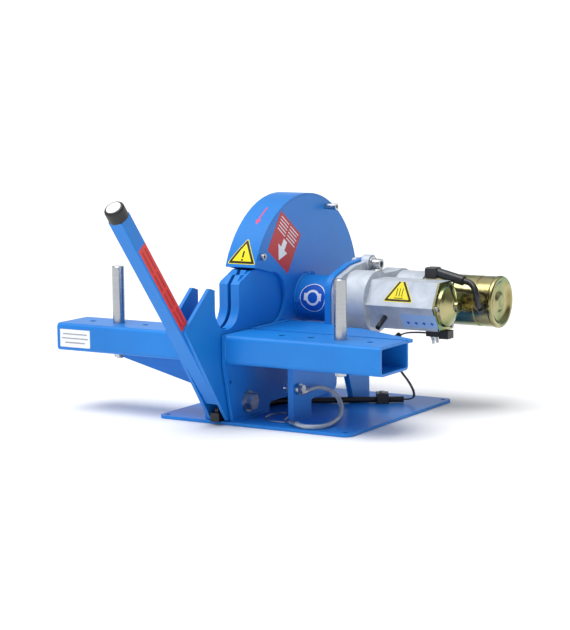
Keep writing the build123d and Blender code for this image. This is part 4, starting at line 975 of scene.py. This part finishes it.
facet_top = 19.5
hot_layers = (
    ("hot_ground", 54, 2.2, facet_top, yellow_vinyl),
    ("hot_border", 50, 1.6, facet_top, black_vinyl),
    ("hot_field", 38, 0.8, facet_top - 0.2, yellow_vinyl),
)
for level, (name, side, corner, top, film_vinyl) in enumerate(hot_layers):
    film_layer(name, clipped(triangle_outline(side, corner), top), film_vinyl, on_upper_facet, level, "frame")
film_layer("hot_foot", box_outline(0, -9, 16, 1.3), black_vinyl, on_upper_facet, 3, "frame")
for number, u in enumerate((-5, 0, 5)):
    film_layer(f"hot_bar_{number}", box_outline(u, 1, 1.3, 14), black_vinyl, on_upper_facet, 3, "frame")
film_layer("plate_ground", box_outline(0, 0, 62, 26), pale_blue_vinyl, on_lower_facet, 0, "frame")
for number in range(4):
    film_layer(f"plate_mark_{number}", turned(box_outline(0, 0, 4.5, 4.5), 45, -20 + 14 * number, -4),
               signal_blue_vinyl, on_lower_facet, 1, "frame")


# Long red strip on the right face of the lever tube, with two rows of darker bars.
lever_lean = math.radians(39)
pivot_y, pivot_z = -127.0, 31.5
lever_face_x = corners_mm("lever_tube")[1].x
strip_along, strip_across = 287, -34.2


def lever_place(x, along, across):
    """Place at a distance from the pivot along the lever's leaning axis, and across it."""
    y = pivot_y - along * math.sin(lever_lean) + across * math.cos(lever_lean)
    z = pivot_z + along * math.cos(lever_lean) + across * math.sin(lever_lean)
    return (x, y, z)


def on_lever(u, v, height):
    """Places a label on the lever's right face."""
    return lever_place(lever_face_x + height, strip_along + v, strip_across + u)


film_layer("lever_strip", box_outline(0, 0, 20, 169), scarlet_vinyl, on_lever, 0, "lever", cell=30)
for number, (low, high) in enumerate(((-78, -46), (-40, -8), (-2, 30), (36, 78))):
    for row, u in enumerate((-4.2, 4.2)):
        film_layer(f"lever_bar_{number}_{row}", box_outline(u, (low + high) / 2, 3.4, high - low),
                   dark_red_vinyl, on_lever, 1, "lever", cell=30)


# Pale disc on the top of the lever's cap: a painted highlight in white film, standing for the gloss on the
# cap's flat top.
cap_reach = 451.0
cap_inset, cap_across = 12.5, -35


def on_cap(u, v, height):
    """Places the painted highlight on the end of the lever's cap."""
    return lever_place(lever_face_x - cap_inset + u, cap_reach + height, cap_across + v)


# White disc of painted highlight where the cap's glossy top catches the light.
film_layer("cap_painted_highlight", disc_outline(0, 0, 11.3), white_vinyl_and_highlight, on_cap, 0, "lever", cell=30)


# White rating plate at the left end of the table's front, with three grey lines.
beam_front_y = beam_low.y
rating_x, rating_z = -325, 120


def on_beam(u, v, height):
    """Places a label on the front of the table at its left end."""
    return (rating_x + u, beam_front_y - height, rating_z + v)


film_layer("rating_plate", box_outline(0, 0, 60, 29), white_vinyl_and_highlight, on_beam, 0, "frame", cell=30)
for number, (v, length) in enumerate(((7, 48), (0, 52), (-7, 40))):
    line = box_outline(0, v, length, 2)
    film_layer(f"rating_line_{number}", line, grey_vinyl, on_beam, 1, "frame", cell=30)


# ---------------------------------------------------------------------------
# The box round the finished model, the backdrop left out.
# ---------------------------------------------------------------------------

low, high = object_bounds()
